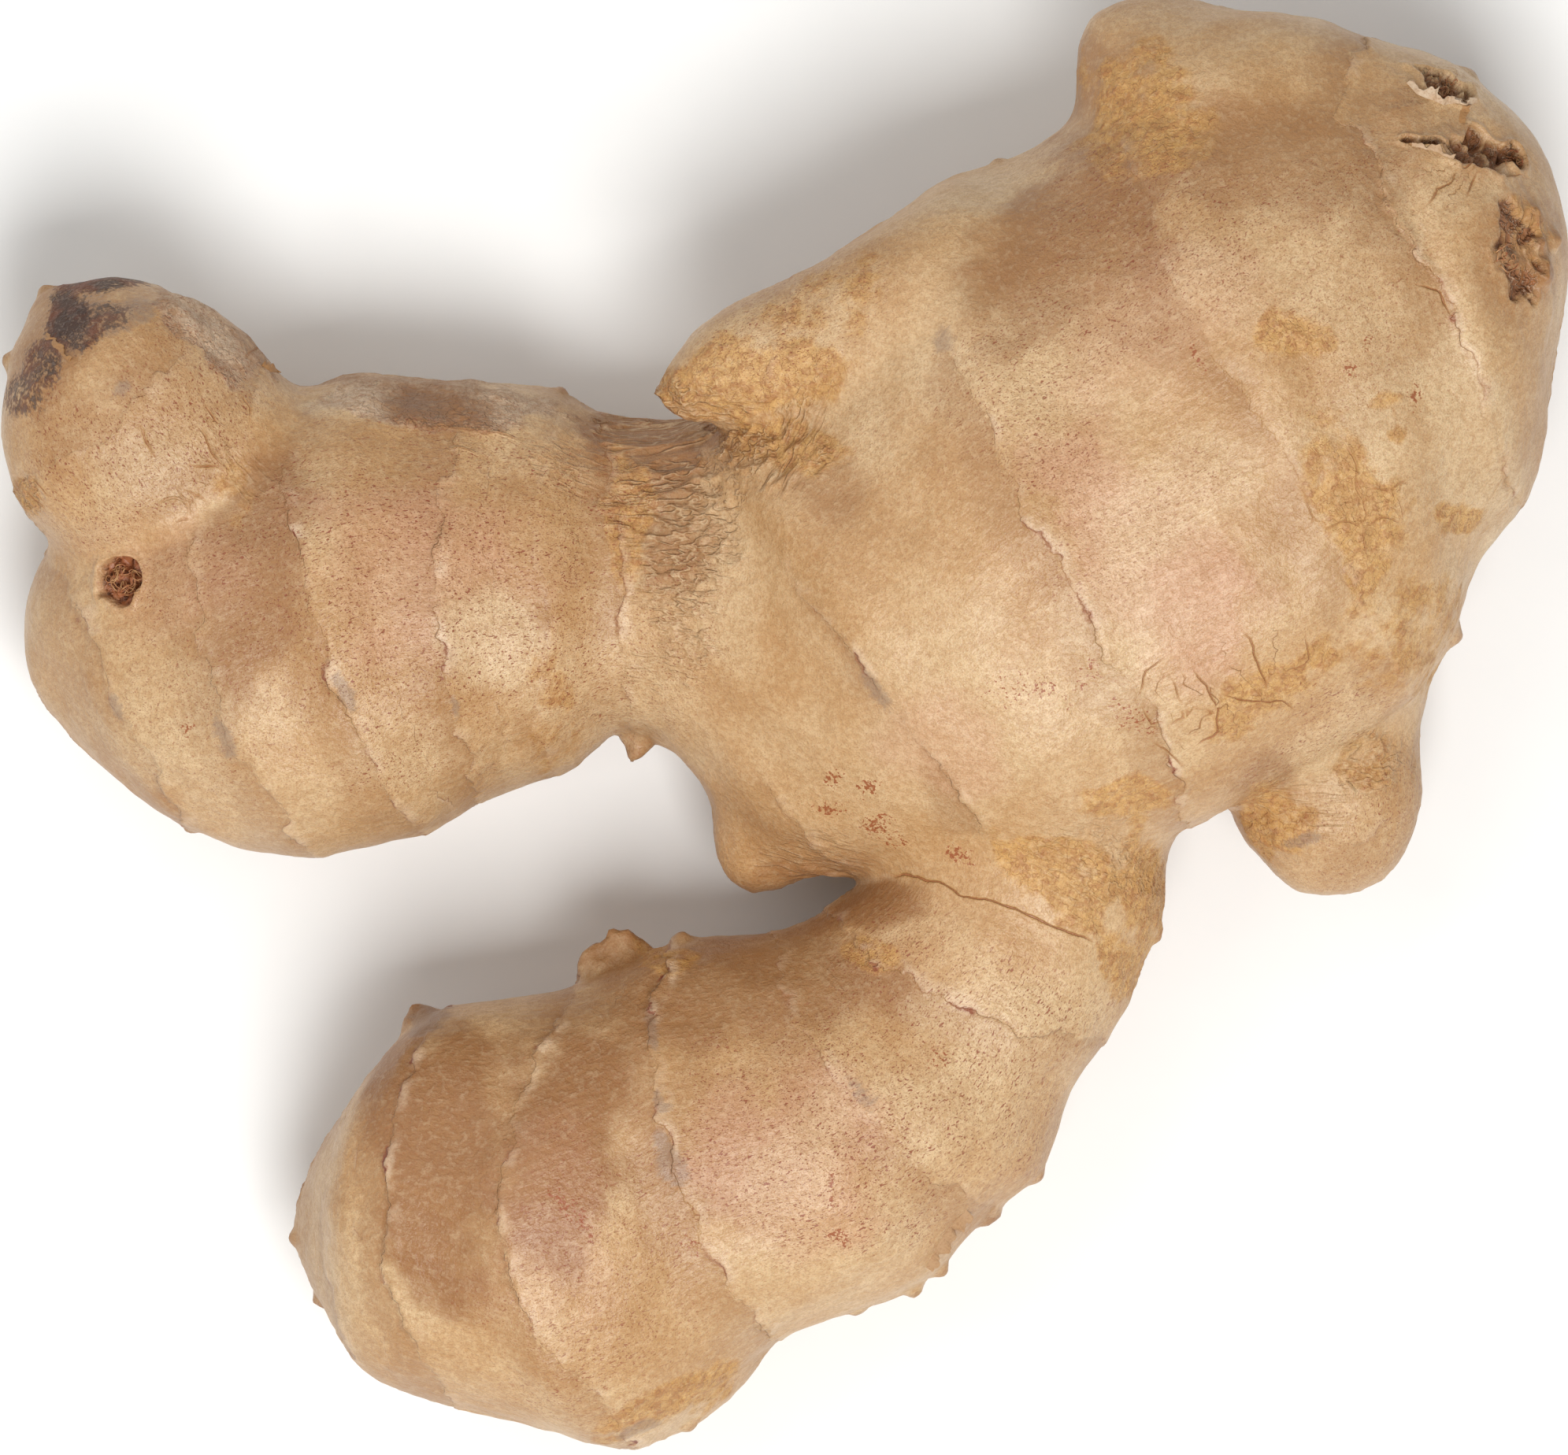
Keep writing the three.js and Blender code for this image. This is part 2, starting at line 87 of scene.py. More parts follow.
LOBES = {
    name: [Section(*row) for row in rows]
    for name, rows in {
        "mother": (
            ((-4.7, -11.4), (-2.2, -13.5), 9.4, 12.7), ((-5.2, -6.4), (1.5, -12.4), 8, 16),
            ((-7.3, -3.2), (3, -11.8), 7, 18.5), ((-9, 3), (4.9, -11.8), 4.8, 22.6),
            ((-6, 13.5), (11.3, -12.2), 2.6, 28.4), ((-5.6, 23.1), (18.5, -12), 1, 33.4),
            ((2.2, 32.6), (25.3, -11.2), 0.5, 35.8, -0.08), ((12.1, 42.9), (31.9, -8.2), 0.2, 37.3, -0.15),
            ((18.6, 45.3), (40.3, -4), -0.1, 36.9, -0.08), ((25.7, 50.4), (49.8, 1.7), -0.5, 37.4),
            ((35.3, 53.9), (53.3, 7.6), 0.6, 36.4, -0.03), ((47.3, 54.5), (58.8, 17.2), 3.1, 33.3, -0.07),
            ((55.2, 51.2), (61.1, 28.9), 7, 28.6), ((61.1, 43.2), (61.9, 34.5), 12.1, 21.9),
        ),
        "left_finger": (
            ((10.5, -8), (9.5, 27), 5, 33), ((-0.5, -5.8), (-1.5, 25.6), 3.8, 28.8),
            ((-7.5, -2.2), (-8.2, 24.7), 2.6, 25.4), ((-12.4, 0), (-14.3, 24.9), 2, 23.8),
            ((-18.1, -3.8), (-17.5, 26.5), 0.8, 26.3, 0.13), ((-24.2, -6.2), (-25.2, 27.5), 0.2, 28.4, 0.2),
            ((-28.4, -8.4), (-39.2, 26.9), -0.5, 29.7, 0.23),
            ((-37.3, -10.2), (-50.3, 22.8), 0.4, 27.7, 0.15),
            ((-47.8, -8.2), (-58.2, 14.3), 2.9, 22.3, 0.17), ((-55.6, -2.3), (-60.9, 8.2), 7.2, 16.8),
            ((-58.4, 0.4), (-60.7, 5.3), 9.6, 14.4),
        ),
        "knob": (
            ((-46.6, 7.8), (-32.2, 17.8), 9, 23), ((-52.8, 11.2), (-36, 22.8), 8.2, 26.2),
            ((-57.5, 14.2), (-39, 27), 7.9, 28.6), ((-62, 21.5), (-44.5, 32.9), 9.1, 28.7),
            ((-62, 23.8), (-47.1, 33.9), 10.3, 27.3, 0.1), ((-61.3, 29.3), (-53.6, 35.8), 13.2, 22.8),
            ((-60.1, 32), (-56.7, 35.2), 15.4, 19.8),
        ),
        "lower_finger": (
            ((32, 0), (13, 5), 7, 28), ((30.9, -8), (9.7, -5), 5.2, 27.4),
            ((29.8, -15.6), (7.7, -11.5), 4.6, 25.6), ((25.3, -24.8), (3.7, -14.5), 3.8, 25.6, 0.24),
            ((20.7, -35), (0.7, -15.9), 2.2, 27, 0.27), ((16.7, -38.6), (-0.7, -16.2), 1.9, 27.4, 0.28),
            ((6.6, -46), (-7.1, -16.8), 0.6, 28.6, 0.32), ((-0.1, -48.9), (-9.1, -17.3), 0.3, 28.6, 0.34),
            ((-11.7, -57.5), (-16.3, -20.8), -0.5, 29.7, 0.5),
            ((-26.2, -54), (-26.5, -22.2), 0.9, 27.1, 0.4), ((-34.5, -49.2), (-34.1, -29.5), 4.4, 22, 0.2),
            ((-38.2, -42.8), (-38.2, -36.7), 9.6, 15.6),
        ),
        "side_bud": (
            ((24, 19), (27, 36), 12, 31), ((16.2, 18), (20, 42.6), 11, 32.8),
            ((9.5, 19.5), (13.2, 43.4), 10.4, 33), ((2.9, 21.8), (6.2, 39.2), 13.2, 31.8),
            ((-2, 23.7), (0.4, 35.6), 17.4, 30.2), ((-5.8, 24.2), (-4.4, 33.3), 19.4, 28.8),
            ((-9.3, 25), (-9.1, 28.2), 22.4, 25.6),
        ),
        "crown_bud": (
            ((27, 33), (50, 38), 9, 32.5), ((24.2, 44), (51, 48.6), 9.2, 31.8),
            ((23.2, 50), (48.5, 53.8), 10.4, 29.2), ((24.2, 56.2), (36, 57), 14.6, 22.8),
        ),
        "stub": (
            ((55, 14), (29, 15), 4.5, 33), ((52.6, 7), (32.5, 4.5), 4.6, 25.5),
            ((51.2, 1.6), (34.8, -1.2), 5, 21.8), ((50.9, -6.4), (36.1, -7.8), 5.6, 19.6, 0.1),
            ((48.1, -11.6), (40, -12.1), 8.2, 16.2),
        ),
    }.items()
}

# ---- Ring scars ---------------------------------------------------------------------------------------


class Ring(NamedTuple):
    """A ring scar: its lobes, its strength, the side of its rim (1 for the base) and its way in plan."""

    lobe: str
    strength: float
    facing: int
    points: tuple


RINGS = [
    Ring(lobe, *row)
    for lobe, rows in {
        "mother": (
            (0.8, -1, ((-9, 3), (-6, 1.5), (-3.8, 1.2), (-2.8, -0.4), (-2.2, -2.9), (-0.3, -6.6),
             (4.9, -11.8))),
            (0.95, -1, ((-5.6, 23.1), (-5.7, 20.9), (-4.7, 19.6), (-2.2, 15.2), (0.3, 12.1), (3.4, 8.4),
             (5.9, 4.6), (8.4, 2.1), (10.9, -1), (13.4, -4.8), (15.6, -7.9), (18.5, -12))),
            (0.8, -1, ((12.1, 42.9), (12.2, 39), (11.8, 32.8), (13.4, 29), (15.9, 24.6), (17.8, 20.2),
             (18.7, 17.1), (20.9, 14), (23.4, 11.5), (24, 8.4), (25.3, 6.5), (27.2, 3.4), (29.3, 1.5),
             (30.3, -1.6), (31.9, -8.2))),
            (0.4, -1, ((25.7, 50.4), (27.8, 43.4), (29.7, 38.4), (31.5, 34.6), (33.4, 30.9), (36.2, 27.8),
             (37.8, 24.6), (40.3, 20.9), (41.5, 17.8), (43.4, 14), (45.3, 10.2), (49.8, 1.7))),
        ),
        "mother crown_bud": (
            (1, -1, ((46.5, 55.5), (45.2, 53.1), (45, 51.2), (43.8, 48.5), (44.6, 48), (45.7, 47.8),
             (46.7, 45.1), (47.9, 42.2), (48, 39.8), (49.6, 38.8), (50.6, 37.1), (52, 34.9), (53.3, 32.7),
             (54.3, 29.6), (55.9, 25.2), (56.8, 20.9), (58.8, 17.2))),
        ),
        "left_finger": (
            (0.5, 1, ((-12.4, 0), (-12.5, 5.9), (-12.8, 10.2), (-13.2, 14), (-13.8, 20.2), (-14.3, 24.9))),
            (0.4, 1, ((-18.1, -3.8), (-19.4, -1.6), (-19.1, 7.8), (-19.7, 14), (-20, 19.6), (-18.5, 22.8),
             (-17.5, 26.5))),
            (0.9, 1, ((-24.2, -6.2), (-25.3, -1.6), (-26.3, 1.5), (-26.6, 5.9), (-27.5, 9), (-27.5, 14),
             (-27.2, 19.6), (-26.3, 21.8), (-25.2, 27.5))),
            (0.9, 1, ((-28.4, -8.4), (-31, -6), (-33.5, -1.6), (-34.7, 1.5), (-36.3, 4), (-36.9, 7.8),
             (-37.8, 11.5), (-38.8, 15.2), (-39.7, 19), (-39.2, 26.9))),
            (0.8, 1, ((-37.3, -10.2), (-39.1, -7.9), (-41.6, -4.1), (-44.1, -1), (-45.3, 1.5), (-46, 6.5),
             (-46.9, 10.9), (-47.2, 16.5), (-50.3, 22.8))),
            (0.7, 1, ((-47.8, -8.2), (-50.3, -2.9), (-52.8, 0.9), (-54.1, 4), (-55.3, 8.4), (-58.2, 14.3))),
        ),
        "knob": (
            (0.5, 1, ((-47.2, 17.1), (-45.3, 20.2), (-43.5, 22.8), (-42.2, 25.2), (-40.7, 29))),
            (0.3, 1, ((-61.6, 19), (-59.4, 19.9), (-56, 21.6), (-52.8, 23.5), (-49.7, 27.8), (-46, 32.8))),
        ),
        "lower_finger": (
            (0.8, 1, ((25.3, -24.8), (19, -24.1), (16.5, -22.9), (11.5, -21), (8.4, -19.4), (5.9, -17.9),
             (3.7, -14.5))),
            (0.7, 1, ((16.7, -38.6), (12.2, -36), (9, -33.5), (6.5, -31), (3.4, -26.6), (0.9, -22.9),
             (-0.3, -20.4), (-0.7, -16.2))),
            (1, 1, ((-0.1, -48.9), (-4.1, -44.8), (-7.2, -39.8), (-8.5, -36), (-9.4, -32.2),
             (-10.7, -27.9), (-10.8, -23.5), (-9.1, -17.3))),
            (0.9, 1, ((-11.7, -57.5), (-14.7, -53.5), (-19.1, -48.5), (-21, -45.4), (-22.2, -42.2),
             (-22.5, -37.2), (-22.2, -34.1), (-21, -29.8), (-19.7, -26), (-16.3, -20.8))),
            (0.8, 1, ((-26.2, -54), (-30.3, -47.2), (-31.6, -43.5), (-31.9, -40.4), (-31.6, -36),
             (-31, -31), (-29.7, -26.6), (-26.5, -22.2))),
            (0.4, 1, ((-34.5, -49.2), (-36.6, -43.5), (-36.9, -39.8), (-36.6, -34.8), (-34.1, -29.5))),
        ),
        "side_bud": (
            (0.25, 1, ((-2, 23.7), (-1.8, 28), (-0.6, 32), (0.4, 35.6))),
        ),
        "stub": (
            (0.4, 1, ((51.2, 1.6), (46, -2.5), (40, -3), (34.8, -1.2))),
            (0.35, 1, ((50.9, -6.4), (46, -9), (40, -9), (36.1, -7.8))),
        ),
    }.items()
    for row in rows
]

# ---- Measures of the skin, in millimetres ------------------------------------------------------------

CELL = 0.45  # spacing of the skin's points
MOST_TRIANGLES = 195_000
MERGE_REACH = 0.005  # corners of the solid form that are closer than this are one
REST_DEPTH = 0.05  # what lies lower than this on the solid form rests on the table
FACET_BLUR = 2.0  # length over which the facets of the solid form are smoothed away
RIM_RISE = 0.17  # of the rim of a ring scar above the skin
RIM_REACH = 1.5  # how far behind its edge the rim begins
STEP_DROP = 0.12  # of the skin just past the rim
STEP_REACH = 1.3  # where it has come back to its level
STEP_WIDTH = 0.3  # over which it drops from the rim to the groove
HUSK_STEP = 0.15  # between the points of a torn strip
HUSK_ROWS = 4
HUSK_SINK = 0.15  # of its foot below the skin
HUSK_THICK = 0.07
FIBRE_BENDS = 6
FIBRE_SINK = 0.1  # of its ends below the skin
FAR = 99.0  # the distance from a mark that isn't there
CREASE_FAR = 9.0  # beyond it no crease counts
RING_JAGS = ((0.36, 3.6), (0.18, 1.5), (0.1, 0.7))  # how far a ring jogs, and over what length
ROOT_RIM = 2.1  # radius of the ring round a root scar
ROOT_RIM_WIDTH = 0.4
ROOT_RIM_RISE = 0.3
ROOT_DEPTH = 0.95
HOLLOW_LIP = 0.3  # how far the lip of a torn hollow stands up
HOLLOW_DEPTH = 1.05
RING_GAIN = 1.25  # how much stronger a ring scar of strength 1 is than the measures of its rim and step
WRINKLE_RISE = 0.32  # between the bottom and the crest of a wrinkle
GOLD_RISE = 0.2  # of the ridges of golden skin
CREASE_GAIN = 0.35  # share of a crease's height that the mesh has, and the bump has the rest
NUB_RISE = 0.8  # share of its height that the skin adds to a nub of the solid form

# Noises that add up, each by its height in mm, its size in mm and its seed.
PATCH_EDGE = ((1.6, 4.5, 11), (0.9, 1.5, 12))
SWELLS = ((0.55, 11, 21), (0.22, 4.2, 22), (0.08, 1.7, 23))
CORK_LUMPS = ((0.5, 3.2, 44), (0.14, 1.1, 45))

# Single numbers that are stored on the skin for its material.
FIELDS = (
    "own", "nubs", "pits", "gold", "cork", "rosy", "light", "brown", "char", "stain", "rust", "speckle",
    "wrinkle", "torn",
)

# ---- Measures of the stage ---------------------------------------------------------------------------

TABLE_SIZE = 1600
VIEW_WIDTH = 124.4  # of the picture, in the plane of the marks
FILM_WIDTH = 36
SKY_COLOUR = (1.0, 1.0, 1.0)
SKY_STRENGTH = 0.38
LIGHTS = (
    ("key", (70, -290, 640), 320, 4.3),
    ("fill", (-450, 350, 600), 800, 1.9),
)

# ---- Geometry of the lobes ---------------------------------------------------------------------------


def blend(low, high, share):
    return low + (high - low) * share


def smooth_step(start, end, value):
    """0 below start and 1 above end, with an even slope between; start may be the larger of the two."""
    share = np.clip((value - start) / (end - start), 0, 1)
    return share * share * (3 - 2 * share)


def waver(points, size, seed=0):
    """Smooth noise, mostly within 0.5 either side of 0, with features of a size in mm."""
    return np.array([noise.noise(place) for place in (points / size + 17.3 * seed).tolist()])


def spot_ways(spot, plan):
    """Distances of places in plan from the middle of a patch, along it and across it, in mm."""
    turn = math.radians(spot.turn)
    away = plan - (spot.x, spot.y)
    return away @ (math.cos(turn), math.sin(turn)), away @ (-math.sin(turn), math.cos(turn))


def lobe_places(points, sections):
    """Where points lie in a lobe, as rows: mm along it, mm across it, shares of its half-width and height."""
    left, right, low, high, lean = (np.array(column, float) for column in zip(*sections))
    centre, middle = (left + right) / 2, (low + high) / 2
    half_width = np.linalg.norm(left - right, axis=1) / 2
    to_left = (left - right) / (2 * half_width[:, None])
    growth = np.stack([to_left[:, 1], -to_left[:, 0]], axis=1)
    offset = points[:, None, :2] - centre
    past = (offset * growth).sum(2) - lean * (points[:, 2:] - middle)
    behind = np.clip((past >= 0).sum(1) - 1, 0, len(sections) - 2)
    rows = np.arange(len(points))
    here, ahead = past[rows, behind], past[rows, behind + 1]
    gap = here - ahead
    raw_share = here / np.where(np.abs(gap) < 0.5, 0.5, gap)
    share = np.clip(raw_share, 0, 1)
    lengths = np.linalg.norm(np.diff(centre, axis=0), axis=1)
    starts = np.concatenate([[0], np.cumsum(lengths)])
    outside = np.maximum(0, np.maximum(-here, ahead)) * ((here < 0) | (ahead > 0))
    along = starts[behind] + np.clip(raw_share, -1, 2) * lengths[behind]
    lateral = (offset * to_left).sum(2)
    across = blend(lateral[rows, behind], lateral[rows, behind + 1], share)
    width = blend(half_width[behind], half_width[behind + 1], share)
    half_height = (high - low) / 2
    height = blend(half_height[behind], half_height[behind + 1], share)
    level = blend(middle[behind], middle[behind + 1], share)
    return {
        "along": along,
        "across": across,
        "side": across / width,
        "up": (points[:, 2] - level) / height,
        "level": level,
        "outside": outside / width,
    }


def seen_plan(points, level):
    """Plan places as they show from the camera in the plane of the marks; level is a lobe's middle height."""
    height = np.maximum(points[:, 2], level)
    return points[:, :2] * ((EYE_HEIGHT - EYE_PLANE) / (EYE_HEIGHT - height))[:, None]


def ring_offset(points, plan, up, ring):
    """Distance of points past a ring scar along the growth, in mm."""
    run = np.array(ring.points, float)
    chord = run[-1] - run[0]
    length = np.linalg.norm(chord)
    chord = chord / length
    growth = np.array([-chord[1], chord[0]])
    places = (run - run[0]) @ chord / length
    order = np.argsort(places)
    bulge = ((run - run[0]) @ growth)[order]
    share = (plan - run[0]) @ chord / length
    shift = np.interp(share, places[order], bulge)
    past = (plan - run[0]) @ growth
    return np.where(up >= 0, past - shift, past + 0.8 * shift)


# ---- Marks on the skin: patches in plan, in millimetres ----------------------------------------------


class Patch(NamedTuple):
    """A patch of one kind of skin, or of painted shade or highlight, on the upper side: its middle, its
    half-length and half-width, its turn.
    """

    x: float
    y: float
    long: float
    wide: float
    turn: float = 0.0
    strength: float = 1.0


PATCHES = {
    name: [Patch(*row) for row in rows]
    for name, rows in {
        "cork": (
            (-28.5, 26.2, 11, 2.4, -7), (-46.9, 32.3, 3.4, 1.6, -40, 1.2), (-44, 29.8, 3.2, 1.8, -50, 1.1),
        ),
        "gold": (
            (-2.5, 27.6, 7.5, 3, 4, 0.95), (45.4, 18, 6.6, 3.7, 106, 0.95), (46.4, 12.8, 2.4, 1.6, 60),
            (47.9, 25.9, 1.3, 0.7, 20, 0.7), (48.4, 22.9, 0.9, 0.7, 0, 0.6), (40.3, 31, 3, 1.9, -10),
            (53.9, 16.3, 2.4, 1.5, -12, 0.95), (26.5, -5.4, 3.8, 1.6, 10), (22, -11.5, 5.5, 3.4, -30),
            (29, -14, 2.5, 6, 10, 0.8), (37.8, 3, 5, 2.4, 35, 0.8), (42.4, 5.6, 1.8, 1.5, 0, 0.7),
            (39.7, -7.6, 3.4, 2.6, -30), (26.8, -18.5, 1.8, 2.8, 20, 0.8), (28.5, 49, 5.5, 5, 0, 0.8),
            (-12.2, 15.2, 1.8, 6.5, 0, 0.7), (-18.5, 0.5, 2.2, 5, 10, 0.35), (-8.5, -53.3, 6, 1.8, 25, 0.9),
            (6.8, -17.8, 2.6, 1.3, -20, 0.9), (-9.1, -18.4, 2.2, 1.2, 0, 0.9), (46.8, -2.9, 3, 2.4, 0, 0.5),
            (50, 8, 5, 5, 0, 0.5), (-43.8, 19, 1.4, 3.4, 10, 0.5), (-60.2, 18.5, 1.3, 1.3, 0, 0.7),
            (0.3, 22.6, 4.6, 2.2, -8, 0.9), (3.4, 34, 5.4, 3, 30, 0.4), (58.8, 39, 3.2, 1.7, 105, 0.45),
        ),
        # Pale skin and painted highlights: the patches on the crests of the left finger, the mother and the
        # lower finger, and the white spots on the cork, stand in for the sheen of the key light.
        "pale": (
            (-23.2, 7.4, 3.8, 4.2, 10, 0.95), (-2.5, 28, 5.5, 3, 5, 0.6), (3.4, 34, 5, 2.6, 30, 0.4),
            (54.5, 22.5, 4, 9, 12, 0.9), (31, 18, 8, 4, 40, 0.6), (26, 8, 5, 5, 0, 0.5),
            (-49, 1, 5, 6, 20, 0.6), (-54, 6, 3, 6, 15, 0.3), (1, -36, 4, 6, -20, 0.4),
            (-34.6, 26, 3.6, 1.6, -4, 0.8), (-21.3, 25.6, 3, 1.8, -8, 0.5), (-30.5, -1.5, 4, 3, 0, 0.35),
            (-45.6, 31.4, 3.6, 1.2, -42, 0.8), (-14, 2, 5, 5, 0, 0.5), (43, -9, 6, 4, 0, 0.3),
            (47, 20, 6, 7, 0, 0.5), (16, -24, 5, 5, 0, 0.5),
        ),
        "rosy": (
            (-28.5, 12.4, 9, 7.4, 0, 0.8), (29.5, 13, 12, 6.5, -52), (12, -1, 6, 4, -40, 0.6),
            (0.5, -34, 8, 7, -40, 0.8), (-18.5, -39.5, 5.5, 8, 0, 0.36), (-49, 12, 6, 5, 0, 0.4),
            (30, 32, 10, 5, 35, 0.4),
        ),
        # Weathered, browner skin, and painted shade: the patches along the upper edges of the lobes, on the
        # neck, under the side bud and under the overhang of the lower finger stand in for shade.
        "brown": (
            (-11.4, -1.4, 2, 1.7, 0, 1.3), (1, -12.2, 6.5, 1.6, 6, 0.9), (6.8, -14.2, 4.4, 2, 12, 1.3),
            (-10.5, 22, 6, 3.4, -6, 1.3), (26, 49, 4.5, 6, -15, 0.9), (24, 41, 12, 4, 32, 1.1),
            (-5, -21, 14, 4.5, 8, 1.1), (-17.5, -33, 5.6, 11.4, -12, 1.45), (-27.5, -34, 5.8, 11, 8, 1.45),
            (-42.5, 11, 4, 12, -12, 1.1), (-51.5, 24.5, 8, 6.5, 30, 0.4), (-57.5, 31, 6, 3.6, 58, 0.9),
            (-10, 18, 4.5, 8), (22, 36, 9, 5, 30, 0.85), (36, 46, 10, 5, -10, 0.8),
            (48, 46, 3.5, 5, 0, 0.6), (57, 37, 3, 5, 10, 0.6), (-3, -34, 4.5, 6.5, -20, 0.55),
            (-3, -14, 5, 2.5, -35, 0.6), (-9, -33, 3, 8, -15, 0.4), (43, 20.5, 12, 3, 60, 0.35),
            (3, 20, 6, 2.5, -50, 0.6), (38.5, -6, 2.5, 4.5, 15, 0.9), (-27.6, 25.3, 4, 1.7, -9, 1.4),
            (-36, 20, 12, 4, -5, 0.3), (-5.6, 23, 1.7, 1.5), (55, 45.7, 3.4, 2, -24, 0.7),
            (58.6, 38.3, 4.4, 2.6, 105, 1.1), (29.5, 31.5, 6, 3, -40, 0.5),
        ),
        "char": (
            (-54.4, 35.1, 3.4, 0.8, 2), (-56.9, 33, 2.2, 1.6, 60, 1.3), (-55.6, 31.3, 1.9, 1.6, 40, 0.75),
            (-54, 32.6, 2, 1.2, 0, 0.6), (-57.9, 30.2, 1.6, 0.8, 60, 0.5),
            (-58.9, 28.8, 2.4, 1.5, 60, 0.72), (-60.3, 26.8, 2.2, 1.5, 60, 0.65),
        ),
        "stain": (
            (7.6, 2.6, 2.4, 0.7, -55), (-35.1, 3.2, 2.6, 0.55, 117), (-26.2, 1.6, 1.7, 0.4, 105),
            (-52.9, 1.6, 1.5, 0.5, 110), (-44.2, -0.8, 1.5, 0.5, 115), (-28.2, -23.4, 1.7, 0.9, 20),
            (-9.4, -33.6, 2.8, 0.9, 112, 0.9), (-9.8, -30, 1.6, 0.5, 110), (-10.4, -24.4, 1.9, 0.4, 100),
            (12.8, 30.9, 1.4, 0.9, 60, 0.8), (-27.6, 25.3, 3.8, 1.3, -9, 0.6),
            (-52.6, 32.4, 2.6, 1.4, 20, 0.7), (-55.5, 32.2, 3.6, 2, 40, 0.7),
            (-52.8, 26.8, 1.5, 0.9, 55, 0.9), (6.2, -29.3, 1.5, 0.4, 125, 0.8),
            (41.5, -8.9, 1.8, 0.9, 15, 0.9), (-10.8, -55.4, 2.6, 0.6, 12), (18, 15.6, 1, 0.5, -60, 0.7),
        ),
        "rust": (
            (3.9, -4.1, 0.7, 0.5, 60), (6.6, -4.9, 0.8, 0.5, 20), (3.4, -6.7, 0.9, 0.4),
            (7.2, -7.9, 0.9, 0.6, 30), (8.9, -9.4, 0.6, 0.4), (13.7, -10.1, 0.9, 0.5, -20),
            (46.2, 30.9, 0.6, 0.4, 60), (50.2, 26.3, 0.8, 0.4, -60), (45, 28.4, 0.5, 0.4),
            (32.7, 29.2, 1.2, 0.4, -75), (3.8, -36.3, 2, 0.35, -80), (4.4, -40.4, 0.7, 0.5),
            (-17.2, -38, 1.5, 0.5, -42, 0.95), (-15.5, -39.8, 1.3, 0.5, -58, 0.95),
            (-13.6, -41.8, 0.8, 0.5, -30, 0.9), (-7.2, -41.2, 1.1, 0.6, -50), (-35, 21.5, 0.4, 0.35, 60),
            (-47.5, 0, 0.4, 0.3), (12.5, -16.5, 0.8, 0.35, 80), (12.4, -26, 1.4, 0.9, -30, 0.7),
            (28, 0.6, 2.4, 0.8, -30, 0.5), (19.5, 3.6, 3, 1.2, 10, 0.5), (24, 4.2, 2.4, 1, 60, 0.6),
        ),
        "speckle": (
            (-28, 11, 18, 14), (-48, 20, 12, 12), (-44, 4, 10, 10, 0, 0.5), (26, 38, 24, 9, 30, 0.9),
            (18, 26, 12, 5, -60, 0.9), (26, 16, 10, 5, 30, 0.5), (38, 46, 12, 5, -10, 0.8),
            (45, 38, 8, 15, 0, 0.45), (4, 34, 12, 5, 40, 0.9), (3, -32, 13, 10, -20),
            (14, -20, 12, 5, -20, 0.9), (-14, -42, 9, 12, -20, 0.7), (45, -4, 9, 8, 0, 0.8),
            (16, -30, 7, 9, 30, 0.9), (-10, 8, 6, 8, 0, 0.6),
        ),
        "wrinkle": (
            (1.5, -10.6, 4.5, 1.8, -6, 0.5), (-8.4, 15, 5, 10.5, -4), (-8.5, 24, 6, 3.5, 4),
            (-17.4, 21, 3.2, 2.4, -10, 0.4), (-2, 22.3, 6, 2.4, -4), (46.8, -2.9, 3.2, 2.4, 0, 0.8),
            (-44.2, 21, 3.5, 2, 130, 0.35), (-60, 18.2, 1.4, 1.6, 0, 0.8), (24, -10.5, 5.5, 4, -30, 0.6),
            (42, -6.5, 4, 3, 0, 0.6), (59, 38.8, 3, 1.6, 105, 0.6), (0.5, 22.6, 4, 2.4, 60, 0.9),
        ),
    }.items()
}

# ---- Creases and cracks: lines in plan, in millimetres -----------------------------------------------


class Crease(NamedTuple):
    """A line in the skin: its height (below 0 for a crack), its width, how dark it is, and its points.

    With a reach it is the raised edge of a flap that lies on its left, seen along the points.
    """

    rise: float
    width: float
    dark: float
    points: tuple
    reach: float = 0.0


